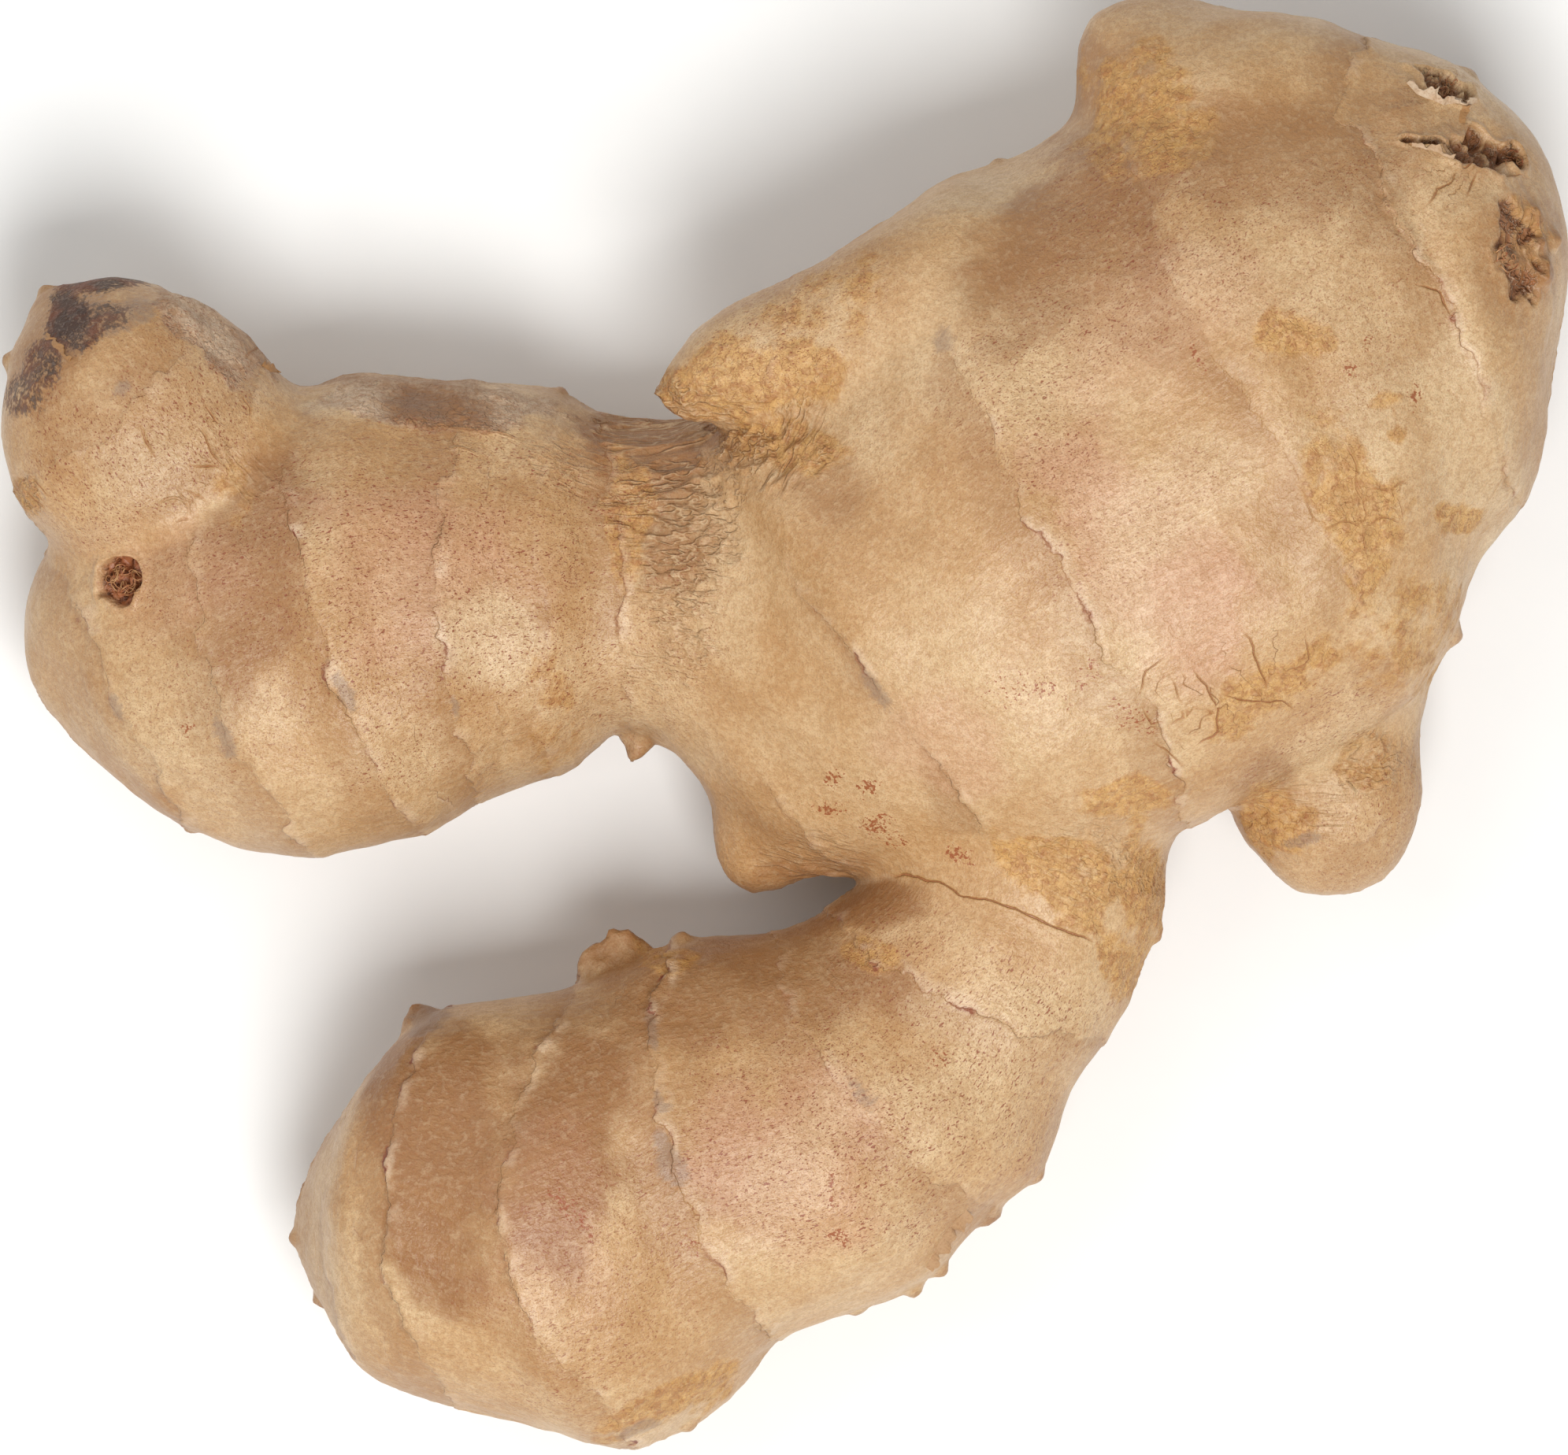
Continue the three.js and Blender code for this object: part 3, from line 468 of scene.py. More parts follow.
CREASES = [
    Crease(*row)
    for row in (
        (-0.15, 0.22, 0.95, ((8.1, -11.6), (10.3, -11.9), (12.5, -12.2), (14, -13.2), (18.4, -14.4),
         (20.5, -15.4), (24.7, -17.1))),
        (0.35, 0.5, 0.3, ((-49.9, 17.4), (-49.6, 18.3), (-48.4, 18.5), (-47.3, 17.7), (-46.9, 16.6))),
        (0.25, 0.4, 0.4, ((-27.8, 24.2), (-26.2, 23.8), (-24.1, 23.3), (-20.6, 22.7))),
        (0.25, 0.4, 0.3, ((-27.3, 21.9), (-25.8, 22.4), (-23.8, 21.6))),
        (-0.4, 0.3, 1, ((-15.3, 24.6), (-14.6, 24), (-14.2, 23.2))),
        (0.4, 0.25, 0.9, ((58.7, 43.6), (57.1, 43.6), (55.7, 44.3), (54.7, 45), (53.9, 44.3), (53.6, 45),
         (52.6, 45.4), (52, 46.1), (49.9, 46.2), (49.2, 46.6)), 1.6),
        (-0.12, 0.3, 0.9, ((55, 44.4), (54.8, 44), (54.3, 43), (53.9, 41.8))),
        (-0.12, 0.3, 0.8, ((53.5, 44.3), (52.9, 43.4), (51.8, 42.7), (50.8, 41.3))),
        (-0.08, 0.3, 0.9, ((50, 35.2), (51.8, 34.6), (53.3, 32.7))),
        (0.12, 0.4, 0.8, ((30.4, 5.6), (28.6, 4.4), (28, 2.5))),
        (0.12, 0.4, 0.8, ((30.7, 4.2), (31.1, 3.2), (31.6, 1.9))),
        (0.15, 0.4, 0.9, ((32.5, 5), (33.4, 3.2), (34.2, 1.6), (34.3, 0), (32.5, -1.5))),
        (0.12, 0.4, 0.8, ((28.4, 1.9), (29, 0.2), (30.4, 0.4))),
        (0.12, 0.4, 0.7, ((33, 1.9), (31.5, 0.9), (30.4, 0.2))),
        (0.12, 0.4, 0.7, ((29.2, -0.9), (30.7, -2.2), (31.8, -3.2))),
        (0.15, 0.5, 0.9, ((36.3, 7.9), (37.4, 5.4), (37.9, 4.4), (38.1, 3))),
        (0.12, 0.5, 0.7, ((41.3, 7.8), (41.5, 5.5), (39.6, 4.2))),
        (0.12, 0.5, 0.9, ((34.6, 3), (36.8, 2.3), (39.2, 2.2), (40.6, 1.4))),
        (0.12, 0.2, 0.6, ((46.2, 18.8), (47.8, 18.9), (49.8, 19.8))),
        (0.12, 0.2, 0.6, ((42.4, 15.6), (44.2, 16.3), (45.9, 16), (47.6, 16.6), (49.6, 16))),
        (0.1, 0.25, 0.5, ((44.6, 22.7), (45.5, 20.8), (45.6, 19), (46.4, 17.2), (46.1, 15.2), (46.7, 13))),
        (0.12, 0.3, 0.6, ((48.7, 18.4), (49.2, 17.2), (49.4, 16.2))),
        (0.12, 0.3, 0.6, ((41.2, 18.5), (41.6, 17.2), (42.6, 15.8))),
        (0.2, 0.5, 0.8, ((-51.3, 24.1), (-50.3, 22.2), (-49.8, 21.2))),
        (-0.25, 0.35, 0.8, ((-42.9, 29.2), (-41.9, 30), (-41.4, 30.8))),
        (0.2, 0.45, 1, ((-47.2, 20.9), (-46.2, 20.7), (-45, 20.8), (-43.7, 19.9))),
        (0.12, 0.4, 0.8, ((-46.4, 24), (-45.2, 21.4), (-44.1, 20.2))),
        (0.12, 0.4, 0.8, ((-45.8, 26), (-45.1, 24.6), (-44.2, 23.7))),
        (0.12, 0.4, 0.7, ((-42.9, 26.6), (-42.4, 25.4), (-42.3, 24.2))),
        (0.12, 0.4, 0.9, ((-47.6, 19), (-46.9, 18.4), (-45.8, 18))),
        (0.1, 0.4, 0.7, ((-48.6, 16.3), (-47.4, 16.8), (-46.5, 16.2))),
        (0.15, 0.4, 0.9, ((-59.6, 20), (-58.9, 19.2), (-58.2, 18.2))),
        (0.15, 0.4, 0.9, ((-60.3, 19.2), (-59.4, 18.2), (-58.2, 17.4))),
    )
]


class Nub(NamedTuple):
    """A blunt outgrowth: a point near the skin, the side that it points to, its radius and its height."""

    near: tuple
    towards: tuple
    radius: float
    height: float


NUBS = [
    Nub(*row)
    for row in (
        ((-14.5, -19.4, 14), (-0.35, 0.9, 0.3), 2.1, 1.9), ((-12.4, -18.8, 14), (-0.2, 0.95, 0.3), 2.1, 2),
        ((-29, -23.5, 14), (-0.3, 0.9, 0.2), 1.9, 1.2), ((-11.6, -0.5, 13), (-0.3, -0.95, 0), 1.3, 1.8),
        ((4.5, -14, 15), (-0.6, 0.8, 0), 1.2, 1), ((0.8, -16, 15), (-0.2, 1, 0), 0.9, 0.6),
        ((-8.1, -17, 15), (0, 1, 0), 1.1, 0.7), ((53.8, 51.5, 20), (0.7, 0.7, 0.1), 1.1, 0.5),
        ((53.4, 7.4, 16), (1, -0.1, 0), 1.2, 0.7), ((29.3, -16.2, 15), (1, -0.2, 0), 1.2, 0.5),
        ((20.2, -35.8, 14), (0.9, -0.4, 0), 1, 0.6), ((16.2, -38.8, 14), (0.7, -0.7, 0), 1.2, 0.6),
        ((12.5, -43.3, 14), (0.7, -0.7, 0), 1, 0.6), ((10.3, -44.6, 14), (0.4, -0.9, 0), 1.2, 0.9),
        ((5.8, -46.2, 14), (0.4, -0.9, 0), 1, 0.5), ((-7.9, -54.8, 14), (0.5, -0.9, 0), 1, 0.5),
        ((-38.6, -40.7, 13), (-1, 0, 0), 0.9, 0.5), ((-36.9, -45.6, 13), (-0.9, -0.4, 0), 0.9, 0.5),
        ((-34, -49.6, 13), (-0.8, -0.6, 0), 0.8, 0.4), ((-47.4, -8.2, 12), (-0.4, -0.9, 0), 1, 0.5),
        ((-58.3, 34.3, 17), (-0.6, 0.8, 0), 0.9, 0.6), ((-61, 29, 18), (-1, 0.1, 0), 0.9, 0.6),
        ((-9.4, 26.6, 24), (-1, 0, 0), 0.8, 0.4), ((-17.8, 26.8, 14), (0, 1, 0), 0.9, 0.4),
        ((17, 44.8, 19), (-0.4, 0.9, 0), 0.8, 0.5), ((58.4, 35.6, 24), (0.2, 0, 0.9), 1.3, 1.1),
        ((59.4, 38.4, 24), (0.4, 0, 0.9), 1.1, 0.8), ((57.3, 37.6, 24), (0.4, 0.1, 0.9), 0.9, 0.7),
        ((58.2, 40.2, 26), (0.3, 0, 0.9), 1, 0.6),
    )
]

ROOT_SCARS = (
    ((-52.2, 11.6, 18), (0, 0, 1)), ((4, 4, 5), (0, -0.2, -1)), ((16, -6, 6), (0, -0.5, -0.9)),
    ((13, 26, 5), (0, 0.1, -1)), ((27, 40, 7), (-0.2, 0.5, -0.9)), ((38, 8, 6), (0.2, -0.3, -1)),
    ((47, 31, 6), (0.2, 0, -1)), ((52, 45, 9), (0.2, 0.5, -0.8)), ((-22, 20, 6), (0, 0.5, -0.9)),
    ((-20, 2, 5), (0, 0, -1)), ((-38, -4, 6), (0, -0.5, -0.9)), ((-43, 14, 6), (0, 0.2, -1)),
    ((-52, 3, 9), (-0.4, 0, -0.9)), ((17, -24, 7), (0.4, -0.2, -0.9)), ((3, -24, 7), (-0.4, 0.4, -0.9)),
    ((-2, -43, 6), (0.4, -0.4, -0.9)), ((-20, -30, 5), (-0.1, 0.3, -1)),
    ((-27, -46, 6), (-0.3, -0.4, -0.9)),
)

HOLLOWS = [
    Patch(*row)
    for row in (
        (52.3, 51, 2.3, 0.85, -26), (50.9, 46.6, 1.4, 0.4, -6, 0.7), (55, 45.7, 2.5, 1.3, -24, 0.9),
        (57.9, 45.2, 1.2, 0.7, -60), (58, 37.8, 3.7, 1.7, 101, 0.5),
    )
]

# Where the mesh is made finer.
DETAIL_SPOTS = [
    Patch(*row)
    for row in (
        (-54, 29, 9, 7), (-52.3, 11.6, 2.6, 2.6), (54, 43, 9, 12), (-9, 16, 7, 12), (-1, 22, 7, 4),
        (-47, 19, 4, 6),
    )
]


class Husk(NamedTuple):
    """A torn strip of dry skin: its foot and free edge in plan, how far that stands up, and its paleness."""

    foot: tuple
    edge: tuple
    lift: float
    pale: float = 0.0


HUSKS = [
    Husk(*row)
    for row in (
        (((49.3, 51.1), (50.1, 50.2), (50.9, 49.8), (52.3, 49.2), (53.2, 49.3), (54.3, 49.2), (55, 49.5)),
         ((49.6, 51.3), (50.3, 50.8), (50.9, 50.7), (51.9, 50.8), (51.7, 50.2), (53.6, 49.9), (55, 49.9)),
         0.4, 0.7),
        (((53.4, 49.7), (53.3, 49), (53.3, 48.3), (53.4, 48)),
         ((54.8, 49.5), (54.5, 49), (54.2, 48.4), (54, 48)), 0.1),
        (((45.3, 50), (45.5, 49.2), (45.6, 48.1)), ((44.6, 49.6), (43.8, 48.6), (44.7, 48)), 0.15, 0.3),
        (((-60.1, 31.4), (-59, 30.6), (-57.9, 29.8), (-56.8, 28.9)),
         ((-58.9, 31.9), (-57.9, 30.9), (-57.3, 30.2), (-56.6, 29.3)), 0.3),
        (((-41.5, 28.7), (-40.7, 28.2), (-39.9, 28.2)),
         ((-41.2, 29.1), (-40.7, 28.8), (-40.2, 28.4)), 0.2),
        (((14.4, -38.2), (12.9, -39.8), (11.9, -41.3), (11.2, -42.8)),
         ((15, -38.8), (13.6, -40.6), (12.5, -42.2), (11.8, -43.2)), 0.25, 0.2),
        (((49.8, 46), (51.6, 45.5), (53, 44.9)), ((49.8, 46.4), (51.6, 46.2), (53.2, 45.3)), 0.12, 0.4),
    )
]


class Tangle(NamedTuple):
    """Dried fibres in a hollow: its middle in plan, its radius, the number of fibres and their thickness."""

    x: float
    y: float
    radius: float
    count: int
    thick: float


TANGLES = [
    Tangle(*row)
    for row in (
        (-52.3, 11.6, 1.35, 17, 0.1), (57.6, 37.4, 1.1, 5, 0.12), (57.8, 45, 0.8, 8, 0.09),
        (52.6, 50.9, 0.9, 8, 0.09),
    )
]

# ---- Fields over the skin ----------------------------------------------------------------------------


class Skin:
    """The points of the skin in mm, with what grows where: lobes, rings, patches and creases."""

    def __init__(self, points, normals, ends):
        self.points = points
        self.normals = normals
        self.ends = ends
        self.noises = {}
        self.degree = np.maximum(1, np.bincount(ends.ravel(), minlength=len(points)))
        self.lay_out_lobes()
        self.lay_out_folds()

    def waver(self, size, seed):
        """Smooth noise at the points, with features of a size in mm. It is reckoned once and kept."""
        if (size, seed) not in self.noises:
            self.noises[size, seed] = waver(self.points, size, seed)
        return self.noises[size, seed]

    def uneven(self, noises):
        """The sum of some noises at the points, in mm."""
        return sum(height * self.waver(size, seed) for height, size, seed in noises)

    def spread(self, values, rounds):
        """Smooths values over the skin: each round moves every point halfway to its neighbours' mean."""
        one, other = self.ends.T
        for _ in range(rounds):
            columns = [
                np.bincount(one, column[other], len(values)) + np.bincount(other, column[one], len(values))
                for column in values.T
            ]
            values = (values + np.stack(columns, axis=1) / self.degree[:, None]) / 2
        return values

    def lay_out_lobes(self):
        """Finds the lobe that each point belongs to, and how far it is inside it."""
        places = [lobe_places(self.points, sections) for sections in LOBES.values()]
        reach = [np.sqrt(place["side"] ** 2 + place["up"] ** 2) + place["outside"] for place in places]
        reach = np.stack(reach)
        self.lobe = reach.argmin(0)
        nearest, second = np.sort(reach, axis=0)[:2]
        self.own = smooth_step(0.02, 0.22, second - nearest)  # 0 where two lobes meet
        rows = np.arange(len(self.points))
        self.place = {key: np.stack([place[key] for place in places])[self.lobe, rows] for key in places[0]}
        self.plan = seen_plan(self.points, self.place["level"])
        shift = 90.0 * self.lobe
        self.grow = np.stack([self.place["along"] + shift, self.place["across"], self.points[:, 2]], axis=1)

    def steepness(self, field, most):
        """How fast a field in mm changes per mm of skin, leaving out where it jumps by more than most."""
        one, other = self.ends.T
        length = np.linalg.norm(self.points[one] - self.points[other], axis=1)
        rate = ((field[one] - field[other]) / np.maximum(length, 0.05)) ** 2
        good = (rate < most * most).astype(float)
        total = sum(np.bincount(end, rate * good, len(field)) for end in (one, other))
        number = sum(np.bincount(end, good, len(field)) for end in (one, other))
        return np.sqrt(np.maximum(2 * total / np.maximum(number, 1), 0.2))

    def find_rings(self):
        """Each point's signed distance past its nearest ring scar, its strength, and mm since a ring."""
        count = len(self.points)
        best, second, behind = np.full((3, count), FAR)
        strength, facing = np.zeros(count), np.ones(count)
        stray = sum(height * np.clip(3.5 * self.waver(size, 3), -1, 1) for height, size in RING_JAGS)
        names = list(LOBES)
        for ring in RINGS:
            mine = np.isin(self.lobe, [names.index(name) for name in ring.lobe.split()])
            past = ring_offset(self.points, self.plan, self.place["up"], ring)
            past = past / np.maximum(1, self.steepness(past, 4)) + stray
            nearer = mine & (np.abs(past) < np.abs(best))
            second = np.where(mine, np.minimum(second, np.maximum(np.abs(past), np.abs(best))), second)
            best[nearer] = past[nearer]
            whole = np.ones(count) if " " in ring.lobe else self.own
            strength[nearer] = ring.strength * whole[nearer]
            facing[nearer] = ring.facing
            since = past * ring.facing
            later = mine & (since > 0) & (since < behind)
            behind[later] = since[later]
        worn = 0.8 + 1.5 * self.waver(5, 5)
        reach = smooth_step(4.5, 2.5, np.abs(best)) * smooth_step(0, 1.2, second - np.abs(best))
        return best * facing, strength * np.clip(worn, 0.5, 1.25) * reach, behind

    def patch(self, kind, ragged=0.3):
        """The share of one kind of skin at each point: its patches on the upper side, with ragged edges."""
        edge = ragged * self.uneven(PATCH_EDGE)
        top = smooth_step(-0.15, 0.25, self.normals[:, 2] + 0.5 * (self.points[:, 2] > self.place["level"]))
        total = np.zeros(len(self.points))
        for spot in PATCHES[kind]:
            long, wide = spot_ways(spot, self.plan)
            reach = np.hypot(long / spot.long, wide / spot.wide) + edge
            total = np.maximum(total, spot.strength * smooth_step(1.25, 0.65, reach))
        return total * top

    def lay_out_folds(self):
        """Finds places for the wrinkles, in mm, with the first along them: each patch has its own.

        Where two patches meet their places don't match, so each point's clearance from such a seam is kept.
        """
        best = np.zeros(len(self.points))
        second = np.full(len(self.points), -9.0)
        along = self.grow.copy()
        for spot in PATCHES["wrinkle"]:
            long, wide = spot_ways(spot, self.plan)
            share = 2 - np.hypot(long / spot.long, wide / spot.wide)
            second = np.maximum(second, np.minimum(share, best))
            nearer = share > best
            best[nearer] = share[nearer]
            along[nearer] = np.stack([long, wide, self.points[:, 2]], axis=1)[nearer]
        self.folds = along
        self.clear = smooth_step(0.02, 0.2, best - second)

    def under(self, size, seed, level):
        """Patches of unplanned skin for the sides and the underside, which no list gives."""
        below = smooth_step(0.25, -0.2, self.normals[:, 2])
        return below * smooth_step(level, level + 0.18, self.waver(size, seed))

    def find_crease(self, crease):
        """The signed distance from a crease in plan, and its strength, which fades at its ends."""
        run = np.array(crease.points, float)
        lengths = np.linalg.norm(np.diff(run, axis=0), axis=1)
        total = lengths.sum()
        best, signed = np.full((2, len(self.points)), FAR)
        fade = np.zeros(len(self.points))
        start = 0.0
        stray = 0.35 * self.waver(1.6, 7)
        for one, other, length in zip(run[:-1], run[1:], lengths):
            way = (other - one) / length
            away = self.plan - one
            share = np.clip(away @ way, 0, length)
            offset = away - share[:, None] * way
            distance = np.linalg.norm(offset, axis=1)
            side = np.sign(offset @ (-way[1], way[0]))  # 1 to the left of its way
            near = distance < best
            best[near] = distance[near]
            signed[near] = (side * distance)[near]
            gone = (start + share) / total
            fade[near] = (np.clip(np.minimum(gone, 1 - gone) * total / 1.2, 0, 1))[near]
            start += length
        upper = self.normals[:, 2] > -0.1
        return signed + stray * (best < 5), fade * upper


def ridged(points, size, seed):
    """Sharp ridges between smooth hollows, from 0 to 1."""
    return np.clip(1 - 4 * np.abs(waver(points, size, seed)), 0, 1)


# ---- Relief of the skin ------------------------------------------------------------------------------


def ring_relief(past):
    """Height of the skin, in mm, at a signed distance past a ring scar: a rim, a step down and a groove."""
    rim = RIM_RISE * np.clip(1 + past / RIM_REACH, 0, 1) ** 2
    groove = -STEP_DROP * np.clip(1 - past / STEP_REACH, 0, 1) ** 2
    return blend(rim, groove, smooth_step(-STEP_WIDTH / 2, STEP_WIDTH / 2, past))


def kinds_of_skin(skin, hollows):
    """The share of each kind of skin at each point, some of it painted shade and some painted highlight: what
    the lists give, and unplanned patches below.
    """
    return {
        "gold": np.maximum(skin.patch("gold"), 0.5 * skin.under(12, 41, 0.1)),
        "cork": np.maximum(skin.patch("cork"), 0.45 * skin.under(16, 43, 0.2)),
        # Pale skin and painted highlights on the crests.
        "light": skin.patch("pale"),
        "rosy": np.maximum(skin.patch("rosy"), 0.5 * skin.under(18, 81, 0.1)),
        # Browner skin, and painted shade along the upper edges, on the neck and under the side bud.
        "brown": np.maximum(skin.patch("brown"), 0.6 * skin.under(14, 82, 0.1)),
        "char": skin.patch("char"),
        "stain": np.maximum(skin.patch("stain", 0.5), 0.35 * skin.under(6, 83, 0.3)),
        "rust": np.maximum(skin.patch("rust", 0.6), 0.9 * skin.under(3, 84, 0.36)),
        "speckle": np.maximum(skin.patch("speckle"), 0.8 * skin.under(15, 85, -0.2)),
        "wrinkle": skin.clear * np.maximum(skin.patch("wrinkle"), 0.6 * skin.own * skin.under(14, 31, 0.12)),
        "torn": np.max([smooth_step(-0.05, -0.5, hollow) for hollow in hollows], axis=0),
    }


def skin_relief(skin, kinds, creases, hollows, past, ring):
    """The height of the finished skin over the smooth form, in mm, along its normals."""
    relief = skin.uneven(SWELLS)
    relief += RING_GAIN * ring * ring_relief(past)
    relief += ring * 0.1 * skin.waver(1.1, 24) * smooth_step(1.6, 0, np.abs(past))
    relief += WRINKLE_RISE * kinds["wrinkle"] * (ridged(skin.folds / (3.4, 1, 1), 1.4, 32) - 0.4)
    relief += GOLD_RISE * kinds["gold"] * (ridged(skin.points, 1.6, 42) - 0.4)
    relief += kinds["cork"] * skin.uneven(CORK_LUMPS)
    for crease, away, fade in creases:
        if crease.reach:
            flap = np.clip(1 - away / crease.reach, 0, 1) * smooth_step(-crease.width, crease.width, away)
            relief += crease.rise * fade * flap
        else:
            relief += CREASE_GAIN * crease.rise * fade * np.exp(-((away / crease.width) ** 2))
    for hollow in hollows:
        relief += hollow
    return relief


def hollow_reliefs(skin):
    """The depth of each torn hollow in the upper side, in mm, with a raised, ragged lip."""
    upper = skin.normals[:, 2] > 0
    lumps = 0.9 * ridged(skin.points / (1, 1, 1.6), 1.7, 52)
    floor = -HOLLOW_DEPTH + lumps + 0.5 * skin.waver(0.7, 53)
    reliefs = []
    for spot in HOLLOWS:
        long, wide = spot_ways(spot, skin.plan)
        reach = np.hypot(long / spot.long, wide / spot.wide) + 0.7 * skin.waver(1.6, 51)
        lip = HOLLOW_LIP * smooth_step(1.6, 1.1, reach)
        reliefs.append(upper * spot.strength * blend(lip, floor, smooth_step(1.1, 0.8, reach)))
    return reliefs


def meet_skin(tree, near, towards):
    """Where a line from one side meets the skin, its normal there and the line's direction, in mm."""
    side = Vector(towards).normalized()
    place, normal, _, _ = tree.ray_cast(Vector(near) + 8 * side, -side)
    if place is None:
        raise RuntimeError(f"no skin was met near {near}")
    return np.array(place), np.array(normal), np.array(side)


def grow_nubs(skin, tree):
    """Moves the skin out into its nubs, and gives each point's move in mm and how much of a nub it is."""
    move = np.zeros_like(skin.points)
    share = np.zeros(len(skin.points))
    for nub in NUBS:
        place, normal, side = meet_skin(tree, nub.near, nub.towards)
        axis = normal + side
        axis /= np.linalg.norm(axis)
        away = skin.points - place
        reach = np.linalg.norm(away - (away @ axis)[:, None] * axis, axis=1) / nub.radius
        close = smooth_step(4, 3, np.abs(away @ axis)) * smooth_step(-0.2, 0.3, skin.normals @ normal)
        ragged = reach + 0.3 * skin.waver(1.1, 61)
        rise = close * smooth_step(1.2, 0.1, ragged)
        move += (NUB_RISE * nub.height * rise * (1 + 0.4 * skin.waver(1.2, 62)))[:, None] * axis
        share = np.maximum(share, smooth_step(0.25, 0.8, rise))
    return move, share


def root_scar_relief(skin, tree):
    """Ringed pits where roots have gone: their height in mm and how much of a pit each point is."""
    relief = np.zeros(len(skin.points))
    share = np.zeros(len(skin.points))
    for near, towards in ROOT_SCARS:
        place, normal, _ = meet_skin(tree, near, towards)
        away = np.linalg.norm(skin.points - place, axis=1)
        near_by = skin.normals @ normal > 0
        reach = away * (1 + 0.25 * skin.waver(1.3, 71))
        rim = ROOT_RIM_RISE * np.exp(-(((reach - ROOT_RIM) / ROOT_RIM_WIDTH) ** 2))
        pit = smooth_step(1.95, 1.6, reach)
        floor = -ROOT_DEPTH + 0.9 * skin.waver(0.7, 72)
        relief += near_by * blend(rim, floor, pit)
        share = np.maximum(share, near_by * pit)
    return relief, share


# ---- The skin as a mesh ------------------------------------------------------------------------------


def new_piece(name, mesh, material):
    """Puts a mesh in the scene as a piece of the hand."""
    piece = bpy.data.objects.new(name, mesh)
    bpy.context.scene.collection.objects.link(piece)
    mesh.materials.clear()
    mesh.materials.append(material)
    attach(piece, "root")
    return piece


def read_rows(items, field, width, kind=float):
    """A field of the points or edges of a mesh, as rows of its width."""
    flat = np.empty(width * len(items), kind)
    items.foreach_get(field, flat)
    return flat.reshape(-1, width)


def read_points(mesh):
    return read_rows(mesh.vertices, "co", 3) / MM


def write_points(mesh, points):
    mesh.vertices.foreach_set("co", (points * MM).ravel())
    mesh.update()


def read_skin(mesh):
    """The skin that a mesh holds."""
    normals = read_rows(mesh.vertices, "normal", 3)
    return Skin(read_points(mesh), normals, read_rows(mesh.edges, "vertices", 2, np.int32))


def finished_mesh(name, data, *modifiers):
    """The mesh that data gives with modifiers carried out, each by its kind and its settings."""
    carrier = bpy.data.objects.new(name, data)
    bpy.context.scene.collection.objects.link(carrier)
    for kind, settings in modifiers:
        modifier = carrier.modifiers.new(kind, kind)
        for setting, value in settings.items():
            setattr(modifier, setting, value)
    graph = bpy.context.evaluated_depsgraph_get()
    mesh = bpy.data.meshes.new_from_object(carrier.evaluated_get(graph))
    bpy.data.objects.remove(carrier)
    return mesh


def even_mesh(cell):
    """The solid form as an even mesh of small squares."""
    form = bmesh.new()
    form.from_mesh(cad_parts[NODE].data)
    bmesh.ops.remove_doubles(form, verts=form.verts, dist=MERGE_REACH * MM)
    solid = bpy.data.meshes.new("solid_form")
    form.to_mesh(solid)
    form.free()
    mesh = finished_mesh("solid_form", solid, ("REMESH", {"mode": "VOXEL", "voxel_size": cell * MM}))
    bpy.data.meshes.remove(solid)
    return mesh


def smoothed_form(mesh, cell):
    """Smooths the facets of the form away without thinning it: what the blur took off is added back."""
    skin = read_skin(mesh)
    raw = skin.points
    rounds = round(4 * (FACET_BLUR / cell) ** 2)
    blurred = skin.spread(raw, rounds)
    return blurred + skin.spread(raw - blurred, rounds), raw


def refined(mesh):
    """Cuts the faces in the spots of fine detail into four."""
    points, normals = read_points(mesh), read_rows(mesh.vertices, "normal", 3)
    fine = np.zeros(len(points), bool)
    for spot in DETAIL_SPOTS:
        away = (points[:, :2] - (spot.x, spot.y)) / (spot.long, spot.wide)
        fine |= (np.hypot(*away.T) < 1) & (normals[:, 2] > -0.1)
    form = bmesh.new()
    form.from_mesh(mesh)
    edges = [edge for edge in form.edges if all(fine[corner.index] for corner in edge.verts)]
    bmesh.ops.subdivide_edges(form, edges=edges, cuts=1, use_grid_fill=True)
    form.to_mesh(mesh)
    form.free()


def keep_inside(points):
    """Keeps points inside the box of the solid form."""
    low, high = (np.array(corner) / MM for corner in CAD_BOX)
    return np.clip(points, low, high)


def store(mesh, name, values):
    """Keeps numbers or vectors on the points of a mesh, for its material to read."""
    kind, field = ("FLOAT_VECTOR", "vector") if values.ndim == 2 else ("FLOAT", "value")
    layer = mesh.attributes.new(name, kind, "POINT")
    layer.data.foreach_set(field, values.astype(np.float32).ravel())


def thinned(mesh, most):
    """The mesh as triangles, thinned where it is plain until there are no more than most."""
    ratio = min(1, most / (2 * len(mesh.polygons)))
    thin = finished_mesh("thinned", mesh, ("TRIANGULATE", {}), ("DECIMATE", {"ratio": ratio}))
    bpy.data.meshes.remove(mesh)
    return thin


